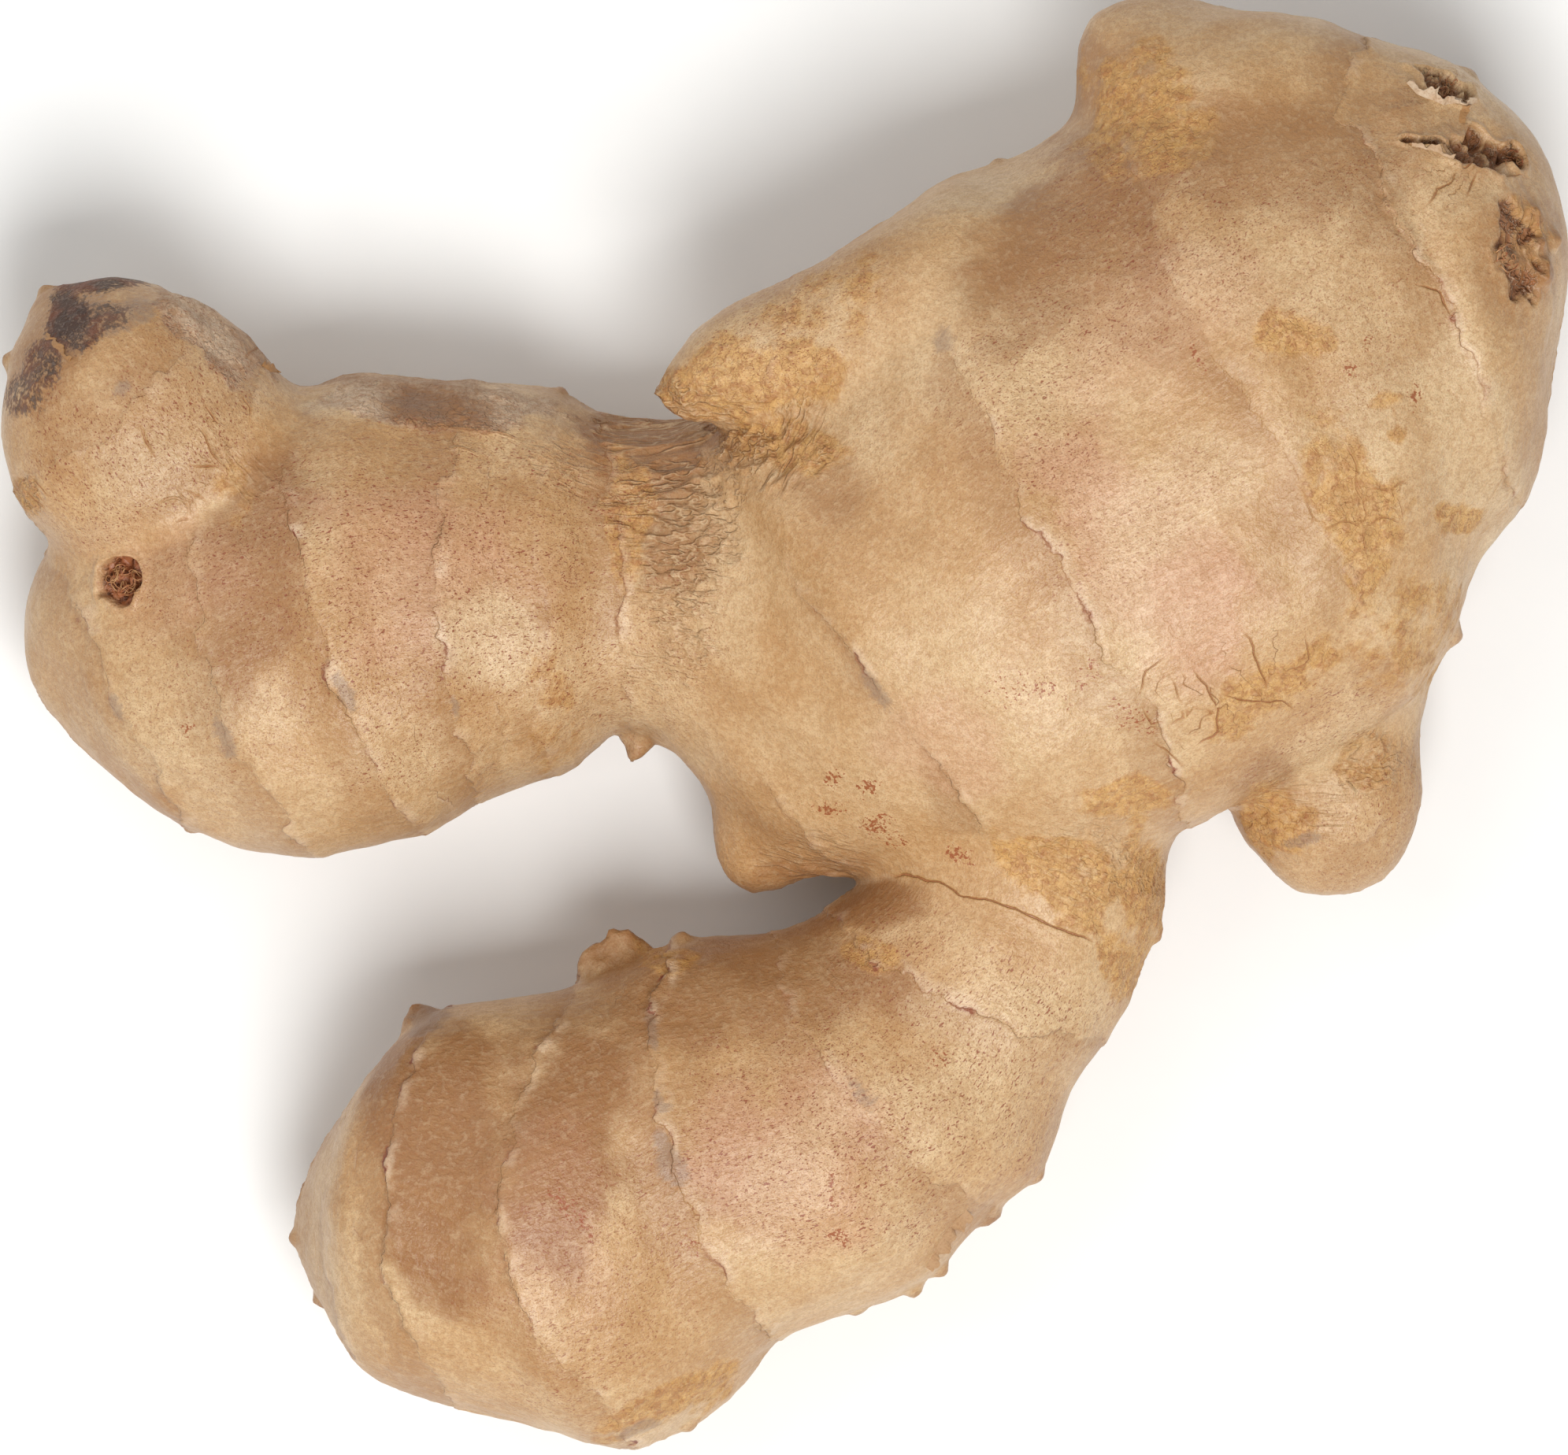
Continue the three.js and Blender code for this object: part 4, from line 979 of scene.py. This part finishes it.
def build_skin():
    """The skin of the hand as a fine mesh, with its relief and the fields that its material reads."""
    cell = CELL
    mesh = even_mesh(cell)
    points, raw = smoothed_form(mesh, cell)
    write_points(mesh, points)
    store(mesh, "resting", (raw[:, 2] < REST_DEPTH).astype(float))
    refined(mesh)
    skin = read_skin(mesh)
    points = skin.points
    tree = face_tree(mesh)
    hollows = hollow_reliefs(skin)
    kinds = kinds_of_skin(skin, hollows)
    past, ring, internode = skin.find_rings()
    ring = ring * (1 - 0.85 * skin.patch("cork"))
    move, nubs = grow_nubs(skin, tree)
    pit_relief, pits = root_scar_relief(skin, tree)
    creases = [(crease, *skin.find_crease(crease)) for crease in CREASES]
    relief = skin_relief(skin, kinds, creases, hollows, past, ring) + pit_relief
    grown = keep_inside(points + move + relief[:, None] * skin.normals)
    resting = read_rows(mesh.attributes["resting"].data, "value", 1)[:, 0]
    grown[resting > 0.5, 2] = 0
    write_points(mesh, grown)

    store(mesh, "grow", skin.grow)
    store(mesh, "fold", skin.folds)
    store(mesh, "ring", np.stack([np.clip(past, -6, 6), ring, np.clip(internode, 0, 12)], axis=1))
    store(mesh, "crease", crease_field(creases))
    for name, values in {**kinds, "own": skin.own, "nubs": nubs, "pits": pits}.items():
        store(mesh, name, values)
    return thinned(mesh, MOST_TRIANGLES)


def crease_field(creases):
    """The signed distance of each point from its nearest crease, how dark that is, and how high."""
    count = len(creases[0][1])
    best, second = np.full((2, count), CREASE_FAR)
    dark, rise = np.zeros((2, count))
    for crease, away, fade in creases:
        near = np.abs(away) < np.abs(best)
        second = np.minimum(second, np.maximum(np.abs(away), np.abs(best)))
        best[near] = away[near]
        dark[near] = (crease.dark * fade)[near]
        rise[near] = 0.0 if crease.reach else (crease.rise * fade)[near]
    reach = smooth_step(2.5, 1.2, np.abs(best)) * smooth_step(0, 0.5, second - np.abs(best))
    return np.stack([np.clip(best, -3, 3), dark * reach, rise * reach], axis=1)


# ---- Torn husks and dried fibres ---------------------------------------------------------------------


def seen_skin(tree, x, y):
    """The point of the skin that shows at a place in plan, in mm, or None past its outline."""
    eye = Vector((0, 0, EYE_HEIGHT))
    place, _, _, _ = tree.ray_cast(eye, (Vector((x, y, EYE_PLANE)) - eye).normalized())
    return place


def face_tree(mesh):
    """The faces of a mesh, in mm, for finding points on it."""
    return BVHTree.FromPolygons(read_points(mesh).tolist(), [face.vertices for face in mesh.polygons])


def along_run(run, share):
    """The point at a share of the way along a run of points."""
    run = np.array(run, float)
    lengths = np.linalg.norm(np.diff(run, axis=0), axis=1)
    ways = np.concatenate([[0], np.cumsum(lengths)]) / lengths.sum()
    return np.array([np.interp(share, ways, column) for column in run.T])


def add_husk(form, tree, husk, seed):
    """Adds one strip to a mesh: its foot is sunk in the skin, and its edge is frayed and stands up."""
    span = np.linalg.norm(np.array(husk.foot[0]) - husk.foot[-1])
    columns = max(6, round(span / HUSK_STEP))
    tone = form.verts.layers.float["pale"]
    made = bmesh.ops.create_grid(form, x_segments=columns, y_segments=HUSK_ROWS, size=0.5)["verts"]
    level = EYE_PLANE
    for corner in sorted(made, key=lambda corner: (corner.co.x, corner.co.y)):
        along, out = corner.co.x + 0.5, corner.co.y + 0.5
        foot, edge = along_run(husk.foot, along), along_run(husk.edge, along)
        corner[tone] = husk.pale
        frayed = 0.7 * noise.noise((1.3 * along * span, 0, seed))
        frayed += 0.35 * noise.noise((3.1 * along * span, 0, seed))
        x, y = blend(foot, edge, out * (1 + frayed))
        under = seen_skin(tree, *(blend(foot, edge, 0.5 * out)))
        if under is not None:
            level = under.z
        rise = husk.lift * out * (1 + noise.noise((along * span, 9, seed))) - HUSK_SINK * (1 - out)
        shrink = (EYE_HEIGHT - level) / (EYE_HEIGHT - EYE_PLANE)
        corner.co = Vector((x * shrink, y * shrink, level + rise))
    return made


def build_husks(tree):
    """The torn strips as one mesh, each with a thickness."""
    form = bmesh.new()
    form.verts.layers.float.new("pale")
    for seed, husk in enumerate(HUSKS):
        add_husk(form, tree, husk, seed)
    bmesh.ops.recalc_face_normals(form, faces=form.faces)
    bmesh.ops.solidify(form, geom=form.faces, thickness=HUSK_THICK)
    bmesh.ops.recalc_face_normals(form, faces=form.faces)
    bmesh.ops.scale(form, vec=Vector((MM, MM, MM)), verts=form.verts)
    mesh = bpy.data.meshes.new("papery_husks")
    form.to_mesh(mesh)
    form.free()
    write_points(mesh, keep_inside(read_points(mesh)))
    return mesh


def build_fibres(tree):
    """The dried fibres as one mesh: each is a thin, curling cord between two points of its hollow."""
    chance = random.Random(11)
    cords = bpy.data.curves.new("dried_fibres", "CURVE")
    cords.dimensions = "3D"
    cords.bevel_depth = MM / 2
    cords.bevel_resolution = 1
    cords.resolution_u = 3
    cords.use_fill_caps = True
    for tangle in TANGLES:
        for _ in range(tangle.count):
            cord = cords.splines.new("BEZIER")
            cord.bezier_points.add(FIBRE_BENDS - 1)
            turn, reach = chance.uniform(0, math.tau), tangle.radius * chance.uniform(0.3, 1)
            for bend, point in enumerate(cord.bezier_points):
                x, y = tangle.x + reach * math.cos(turn), tangle.y + reach * math.sin(turn)
                ends = bend in (0, FIBRE_BENDS - 1)
                place = seen_skin(tree, x, y)
                point.co = (place + Vector((0, 0, -FIBRE_SINK if ends else chance.uniform(0.05, 0.5)))) * MM
                point.handle_left_type = point.handle_right_type = "AUTO"
                point.radius = tangle.thick * chance.uniform(0.6, 1.2)
                turn += chance.uniform(-0.9, 1.3)
                reach = min(tangle.radius, max(0.1, reach + chance.uniform(-0.5, 0.5)))
    mesh = finished_mesh("dried_fibres", cords)
    bpy.data.curves.remove(cords)
    return mesh


# ---- Materials ---------------------------------------------------------------------------------------


def linear(code):
    """An sRGB hex colour as linear red, green, blue and alpha."""
    parts = (int(code[place : place + 2], 16) / 255 for place in (1, 3, 5))
    return [part / 12.92 if part <= 0.04045 else ((part + 0.055) / 1.055) ** 2.4 for part in parts] + [1.0]


def add_node(tree, kind, values=None, out=0, **settings):
    """Adds a node, links or sets its sockets from values, and gives one of its outputs."""
    made = tree.nodes.new(kind)
    for name, setting in settings.items():
        setattr(made, name, setting)
    for key, value in (values or {}).items():
        if isinstance(value, bpy.types.NodeSocket):
            tree.links.new(value, made.inputs[key])
        else:
            made.inputs[key].default_value = value
    return made if out is None else made.outputs[out]


def reckon(add, operation, one, other=0.0):
    """A Math node on two numbers or sockets."""
    return add("ShaderNodeMath", {0: one, 1: other}, operation=operation)


def ramp(add, value, start, end, low=0.0, high=1.0, **settings):
    """Maps a socket from start and end to low and high."""
    ends = {"From Min": start, "From Max": end, "To Min": low, "To Max": high}
    return add("ShaderNodeMapRange", {"Value": value, **ends}, **settings)


def tint(add, share, under, colour):
    """Lays a share of a colour over what is under it."""
    return add("ShaderNodeMix", {0: share, 6: under, 7: (*colour, 1)}, 2, data_type="RGBA")


def cloud(add, size, detail):
    """A noise with features of a size in mm."""
    place = add("ShaderNodeTexCoord", {}, 3)
    return add("ShaderNodeTexNoise", {"Vector": place, "Scale": 1 / (size * MM), "Detail": detail})


def new_material(name):
    """A material with an empty node tree, and the function that adds its nodes."""
    material = bpy.data.materials.new(name)
    material.use_nodes = True
    material.node_tree.nodes.clear()
    return material, partial(add_node, material.node_tree)


def skin_material(look):
    """Ginger periderm: thin satin cork over pale flesh, silky along the growth and flecked with brownish red,
    with painted shade and painted highlights in some layers.
    """
    material, add = new_material("ginger periderm")
    times = partial(reckon, add, "MULTIPLY")
    fields = {name: add("ShaderNodeAttribute", {}, 2, attribute_name=name) for name in FIELDS}
    place = add("ShaderNodeTexCoord", {}, 3)
    millimetres = add("ShaderNodeVectorMath", {0: place, "Scale": 1 / MM}, operation="SCALE")
    grow, ring_field, creases, fold = (
        add("ShaderNodeAttribute", {}, 1, attribute_name=name) for name in ("grow", "ring", "crease", "fold")
    )
    past, ring, internode = (add("ShaderNodeSeparateXYZ", {0: ring_field}, out) for out in range(3))
    crease, crease_dark, crease_rise = (add("ShaderNodeSeparateXYZ", {0: creases}, out) for out in range(3))

    # Noise by what it makes: where it lies, its size in mm, its detail and how far it is drawn out along
    # the growth.
    places = {
        name: add("ShaderNodeMapping", {"Vector": where, "Scale": (squash, 1, 1)}, vector_type="POINT")
        for name, (where, squash) in {
            "along": (grow, 0.2),
            "fleck": (grow, 0.6),
            "fold": (fold, 0.16),
        }.items()
    }
    noises = {
        name: add(
            "ShaderNodeTexNoise",
            {"Vector": where, "Scale": 1 / size, "Detail": detail, "Roughness": 0.6},
        )
        for name, (where, size, detail) in {
            "tone": (millimetres, 13, 2),
            "mottle": (millimetres, 2.4, 3),
            "grain": (millimetres, 0.55, 2),
            "speck": (millimetres, 0.32, 2),
            "cell": (millimetres, 0.16, 1),
            "crumb": (millimetres, 0.8, 2),
            "silk": (places["along"], 0.34, 2),
            "wide_silk": (places["along"], 1.8, 2),
            "fray": (millimetres, 1.0, 3),
            "worn": (millimetres, 3.2, 2),
            "fleck": (places["fleck"], 0.19, 1),
            "small_fleck": (places["fleck"], 0.1, 1),
            "fold": (places["fold"], 1.0, 2),
            "crackle": (millimetres, 1.0, 2),
        }.items()
    }
    # How far each of these is from its middle value, which makes sharp lines of a soft noise.
    edges = {
        name: reckon(add, "ABSOLUTE", reckon(add, "SUBTRACT", noises[name], 0.5))
        for name in ("fold", "crackle")
    }
    stray = times(reckon(add, "SUBTRACT", noises["fray"], 0.5), 1.1)
    frayed = reckon(add, "ADD", past, stray)
    distance = reckon(add, "ABSOLUTE", frayed)
    crease_distance = reckon(add, "ABSOLUTE", reckon(add, "ADD", crease, times(stray, 0.25)))

    # Patches with edges as ragged as a noise makes them: how far it moves them, and where they fade out.
    for name, (by, amount, start, end) in {
        "rust": ("speck", 4.5, 0.75, 1.0),
        "char": ("silk", 2.4, 0.25, 0.85),
        "stain": ("silk", 1.2, 0.25, 0.8),
        "cork": ("mottle", 1.4, 0.3, 0.7),
        "gold": ("mottle", 2.2, 0.2, 0.7),
    }.items():
        moved = times(reckon(add, "SUBTRACT", noises[by], 0.5), amount)
        moved = ramp(add, reckon(add, "ADD", moved, fields[name]), start, end)
        fields[name] = times(moved, ramp(add, fields[name], 0.02, 0.15))

    # Shares of each layer: what is mapped, and from what to what, to 0 and 1.
    shares = {
        name: ramp(add, value, start, end, interpolation_type="SMOOTHSTEP")
        for name, (value, start, end) in {
            "pale": (noises["tone"], 0.4, 0.64),
            "deep": (noises["tone"], 0.5, 0.3),
            "mottled": (noises["mottle"], 0.42, 0.68),
            "grained": (noises["grain"], 0.42, 0.66),
            "pale_grain": (noises["grain"], 0.5, 0.3),
            "silky": (noises["silk"], 0.4, 0.68),
            "wide": (noises["wide_silk"], 0.42, 0.7),
            "celled": (noises["cell"], 0.42, 0.66),
            "crumbed": (noises["crumb"], 0.48, 0.66),
            "fleck": (noises["fleck"], 0.63, 0.68),
            "small_fleck": (noises["small_fleck"], 0.61, 0.68),
            "crowded": (noises["mottle"], 0.38, 0.54),
            "worn": (noises["worn"], 0.46, 0.6),
            "worn_through": (noises["worn"], 0.56, 0.62),
            "crest": (edges["fold"], 0.1, 0.0),
            # Painted light on the wrinkles: a highlight on the top of each crest and a shadow at its foot.
            "crest_top": (edges["fold"], 0.035, 0.0),
            "crest_foot": (edges["fold"], 0.16, 0.04),
            "crack": (edges["crackle"], 0.04, 0.0),
            "rim": (frayed, -1.3, -0.2),
            "before": (frayed, 0.05, -0.05),
            "line": (distance, 0.09, 0.02),
            "wide_line": (distance, 0.24, 0.08),
            "soft_line": (distance, 0.6, 0.05),
            "crease_line": (crease_distance, 0.09, 0.02),
            "crease_side": (crease_distance, 0.18, 0.04),
            "fibre": (noises["silk"], 0.54, 0.64),
            "deep_torn": (fields["torn"], 0.5, 1.0),
            "fresh": (internode, 6.0, 0.3),
            "ring_on": (ring, 0.1, 0.5),
        }.items()
    }

    # Layers by a product of shares and a strength, from the ground up.
    layers = [
        (look.pale_skin_and_highlight, "pale", 0.52),
        (look.deep_skin, "deep", 0.42),
        (look.deep_skin, "mottled", 0.14),
        (look.brown_skin_and_shade, "fresh ring_on", 0.45),
        # Painted shade as well as browner skin: the patches along the upper edges, on the neck and under the
        # side bud are painted shade.
        (look.brown_skin_and_shade, "brown", 0.7),
        (look.brown_skin_and_shade, "brown mottled", 0.2),
        (look.rosy_skin, "rosy", 0.55),
        # Painted highlights on the crests, as well as pale skin.
        (look.pale_skin_and_highlight, "light", 0.75),
        (look.golden_skin, "gold", 0.75),
        (look.brown_skin_and_shade, "gold mottled", 0.3),
        (look.pale_skin_and_highlight, "silky own", 0.1),
        (look.deep_skin, "wide own", 0.2),
        (look.cork, "cork", 0.8),
        (look.brown_skin_and_shade, "cork grained", 0.35),
        # Pale cork and painted highlight where the pale patches lie on cork.
        (look.bloom_and_highlight, "cork light", 0.6),
        # Darker cork where those patches lie, partly painted shade.
        (look.brown_skin_and_shade, "cork brown", 0.7),
        # Painted shadow at the foot of each wrinkle and painted highlight on its crest.
        (look.brown_skin_and_shade, "crest_foot wrinkle", 0.35),
        (look.pale_skin_and_highlight, "crest_top wrinkle", 0.45),
        (look.rust, "gold crack", 0.28),
        (look.rust, "gold crumbed", 0.42),
        (look.deep_skin, "grained", 0.3),
        (look.pale_skin_and_highlight, "pale_grain", 0.2),
        (look.brown_skin_and_shade, "celled", 0.26),
        # The pale, papery rim before each ring line, partly a painted highlight on the raised rim.
        (look.bloom_and_highlight, "rim before ring worn", 0.5),
        (look.fleck, "fleck speckle own crowded", 0.85),
        (look.fleck, "small_fleck speckle own", 0.7),
        (look.rust, "fleck own", 0.25),
        (look.brown_skin_and_shade, "small_fleck", 0.4),
        (look.stain, "stain", 0.5),
        (look.brown_skin_and_shade, "soft_line ring", 0.3),
        (look.rust, "line ring worn", 0.32),
        (look.fleck, "wide_line ring ring worn_through", 0.8),
        (look.golden_skin, "crease_side crease_dark", 0.5),
        (look.brown_skin_and_shade, "crease_side crease_dark", 0.35),
        (look.rust, "crease_line crease_dark", 0.75),
        (look.rust, "rust", 0.9),
        (look.char, "char", 0.92),
        (look.stain, "char fibre", 0.45),
        (look.rust, "char mottled", 0.45),
        (look.rust, "pits", 0.85),
        (look.char, "pits crumbed", 0.6),
        (look.brown_skin_and_shade, "nubs", 0.4),
        (look.brown_skin_and_shade, "torn", 0.6),
        (look.rust, "deep_torn", 0.4),
        (look.char, "deep_torn mottled", 0.6),
        (look.bloom_and_highlight, "torn crack", 0.3),
    ]
    factors = {**shares, **fields, "ring": ring, "crease_dark": crease_dark, "crease_rise": crease_rise}
    paint = (*look.skin, 1)
    for colour, names, strength in layers:
        share = reduce(times, map(factors.get, names.split()), strength)
        paint = tint(add, share, paint, colour)

    # Relief too fine for the mesh, in mm: what is raised, by which shares, and how far.
    height = 0.0
    for names, rise in [
        ("silky own", 0.015),
        ("grained", -0.025),
        ("celled", -0.008),
        ("mottled", 0.03),
        ("fleck speckle own", -0.02),
        ("crest wrinkle", 0.12),
        ("crack gold", 0.03),
        ("crumbed gold", 0.04),
        ("crumbed cork", 0.1),
        ("crack cork", -0.05),
        ("crumbed char", 0.1),
        ("before ring", 0.07),
        ("line ring", -0.035),
        ("crease_side crease_rise", 0.3),
        ("crease_line crease_dark", -0.1),
        ("crumbed torn", 0.2),
        ("crack torn", 0.12),
        ("crumbed pits", 0.2),
    ]:
        height = reckon(add, "ADD", height, reduce(times, map(factors.get, names.split()), rise))
    bump = add("ShaderNodeBump", {"Height": height, "Distance": MM, "Strength": 1.0})

    gloss = ramp(add, noises["mottle"], 0, 1, 0.34, 0.5)
    for name, dull in (("gold", 0.15), ("cork", 0.25), ("char", 0.2), ("wrinkle", 0.1)):
        gloss = reckon(add, "ADD", gloss, times(dull, fields[name]))
    surface = add(
        "ShaderNodeBsdfPrincipled",
        {
            "Base Color": paint,
            "Roughness": gloss,
            "Normal": bump,
            "IOR": 1.45,
            "Subsurface Weight": 0.12,
            "Subsurface Radius": (1.0, 0.5, 0.25),
            "Subsurface Scale": 0.7 * MM,
        },
    )
    add("ShaderNodeOutputMaterial", {"Surface": surface}, None)
    return material


def husk_material(look):
    """Dead outer skin: thin, pale and papery, browner where it is thick, and dull."""
    material, add = new_material("dead papery skin")
    fibre = cloud(add, 0.2, 2)
    pale = add("ShaderNodeAttribute", {}, 2, attribute_name="pale")
    thin = reckon(add, "MULTIPLY", ramp(add, cloud(add, 1.2, 3), 0.3, 0.6, 0.5), pale)
    paint = tint(add, thin, (*look.deep_skin, 1), look.husk)
    paint = tint(add, ramp(add, fibre, 0.5, 0.7, 0, 0.5), paint, look.brown_skin_and_shade)
    bump = add("ShaderNodeBump", {"Height": fibre, "Distance": 0.05 * MM, "Strength": 1.0})
    surface = add("ShaderNodeBsdfPrincipled", {"Base Color": paint, "Roughness": 0.6, "Normal": bump})
    add("ShaderNodeOutputMaterial", {"Surface": surface}, None)
    return material


def fibre_material(look):
    """Dried root fibre: stiff straw-coloured strands, darker in places, with a dull gloss."""
    material, add = new_material("dried root fibre")
    paint = tint(add, ramp(add, cloud(add, 0.7, 2), 0.4, 0.62), (*look.fibre, 1), look.rust)
    surface = add("ShaderNodeBsdfPrincipled", {"Base Color": paint, "Roughness": 0.55})
    add("ShaderNodeOutputMaterial", {"Surface": surface}, None)
    return material


def table_material(look):
    """Matt white paper for the table: it shows the hand and a soft shadow only."""
    material, add = new_material("matt white paper")
    paper = tint(add, ramp(add, cloud(add, 6, 2), 0, 1, 0.97), (0, 0, 0, 1), look.table)
    surface = add(
        "ShaderNodeBsdfPrincipled",
        {"Base Color": paper, "Roughness": 0.9, "Specular IOR Level": 0.2},
    )
    add("ShaderNodeOutputMaterial", {"Surface": surface}, None)
    return material


# ---- Sizes and colours that a user would change ------------------------------------------------------


def colour_property(name, description, code):
    return bpy.props.FloatVectorProperty(
        name=name,
        description=description,
        subtype="COLOR",
        size=3,
        min=0,
        max=1,
        default=linear(code)[:3],
    )


class GingerLook(bpy.types.PropertyGroup):
    """The colours of the hand and of its table."""

    skin: colour_property("Skin", "Middle tone of the skin", "#C49D6F")
    # This colour also paints highlights: the pale patches on the crests and the top of each wrinkle.
    pale_skin_and_highlight: colour_property("Pale skin", "Smooth skin in the light of the flesh", "#DCC29A")
    deep_skin: colour_property("Deep skin", "Thicker, darker skin", "#A87B4B")
    # This colour also paints shade: the patches along the upper edges and under the side bud, and the foot of
    # each wrinkle.
    brown_skin_and_shade: colour_property("Brown skin", "Weathered skin at the foot of each joint", "#91633B")
    rosy_skin: colour_property("Rosy skin", "Where the young skin shows pink", "#C79479")
    golden_skin: colour_property("Golden skin", "Rubbed, fibrous skin", "#CE9E58")
    cork: colour_property("Cork", "Grey, corky scar tissue", "#B0927A")
    rust: colour_property("Rust", "Bruises and the line of each ring scar", "#94502C")
    fleck: colour_property("Fleck", "The short flecks all over the skin", "#86402A")
    # This colour also paints highlights on the raised rim of each ring and on pale cork.
    stain: colour_property("Stain", "Grey stains at the ring scars", "#8C7666")
    bloom_and_highlight: colour_property("Bloom", "The pale, papery rim of a ring scar", "#E2C9AC")
    char: colour_property("Char", "Dried, nearly black tips of the knob", "#3A221A")
    husk: colour_property("Husk", "Torn strips of dead skin", "#CDBCA4")
    fibre: colour_property("Fibre", "Dried root fibres", "#B4875A")
    table: colour_property("Table", "The table that the hand lies on", "#F4F4F2")


# ---- Operators ---------------------------------------------------------------------------------------


class GingerSkin(bpy.types.Operator):
    """Grows the skin of the hand over its solid form"""

    bl_idname = "ginger.skin"
    bl_label = "Ginger skin"

    def execute(self, context):
        piece = new_piece("ginger_skin", build_skin(), skin_material(context.scene.ginger_look))
        piece.data.polygons.foreach_set("use_smooth", [True] * len(piece.data.polygons))
        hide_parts(NODE)
        return {"FINISHED"}


class GingerHusks(bpy.types.Operator):
    """Sets the torn strips of dead skin on the hand"""

    bl_idname = "ginger.husks"
    bl_label = "Ginger husks"

    def execute(self, context):
        tree = face_tree(bpy.data.objects["ginger_skin"].data)
        new_piece("papery_husks", build_husks(tree), husk_material(context.scene.ginger_look))
        return {"FINISHED"}


class GingerFibres(bpy.types.Operator):
    """Fills the open scars with their dried fibres"""

    bl_idname = "ginger.fibres"
    bl_label = "Ginger fibres"

    def execute(self, context):
        tree = face_tree(bpy.data.objects["ginger_skin"].data)
        new_piece("dried_fibres", build_fibres(tree), fibre_material(context.scene.ginger_look))
        return {"FINISHED"}


class GingerStage(bpy.types.Operator):
    """Lays the table, sets the soft lights and puts the camera above the hand"""

    bl_idname = "ginger.stage"
    bl_label = "Ginger stage"

    def execute(self, context):
        scene = context.scene
        top = bmesh.new()
        bmesh.ops.create_grid(top, x_segments=8, y_segments=8, size=TABLE_SIZE * MM / 2)
        mesh = bpy.data.meshes.new("table")
        top.to_mesh(mesh)
        top.free()
        table = bpy.data.objects.new("table", mesh)
        scene.collection.objects.link(table)
        mesh.materials.append(table_material(scene.ginger_look))

        for name, place, size, power in LIGHTS:
            light = bpy.data.lights.new(name, "AREA")
            light.size = size * MM
            light.energy = power
            lamp = bpy.data.objects.new(name, light)
            lamp.location = Vector(place) * MM
            lamp.rotation_euler = (-lamp.location).to_track_quat("-Z", "Y").to_euler()
            scene.collection.objects.link(lamp)

        world = bpy.data.worlds.new("soft studio")
        scene.world = world
        world.use_nodes = True
        sky = world.node_tree.nodes["Background"].inputs
        sky["Color"].default_value = (*SKY_COLOUR, 1)
        sky["Strength"].default_value = SKY_STRENGTH
        scene.view_settings.view_transform = "Standard"

        lens = bpy.data.cameras.new("camera")
        lens.sensor_fit = "HORIZONTAL"
        lens.sensor_width = FILM_WIDTH
        lens.lens = FILM_WIDTH * (EYE_HEIGHT - EYE_PLANE) / VIEW_WIDTH
        camera = bpy.data.objects.new("camera", lens)
        camera.location = (0, 0, EYE_HEIGHT * MM)
        scene.collection.objects.link(camera)
        scene.camera = camera
        return {"FINISHED"}


class GingerPanel(bpy.types.Panel):
    """Lists the steps that finish the hand, and its colours"""

    bl_idname = "VIEW3D_PT_ginger"
    bl_label = "Ginger"
    bl_space_type = "VIEW_3D"
    bl_region_type = "UI"
    bl_category = "Ginger"

    def draw(self, context):
        for step in OPERATORS:
            self.layout.operator(step.bl_idname)
        for name in GingerLook.__annotations__:
            self.layout.prop(context.scene.ginger_look, name)


OPERATORS = (GingerSkin, GingerHusks, GingerFibres, GingerStage)
CLASSES = (GingerLook, *OPERATORS, GingerPanel)


def register():
    for kind in CLASSES:
        bpy.utils.register_class(kind)
    bpy.types.Scene.ginger_look = bpy.props.PointerProperty(type=GingerLook)


def unregister():
    del bpy.types.Scene.ginger_look
    for kind in reversed(CLASSES):
        bpy.utils.unregister_class(kind)


def main():
    register()
    bpy.ops.ginger.skin()
    bpy.ops.ginger.husks()
    bpy.ops.ginger.fibres()
    bpy.ops.ginger.stage()


if __name__ == "__main__":
    main()
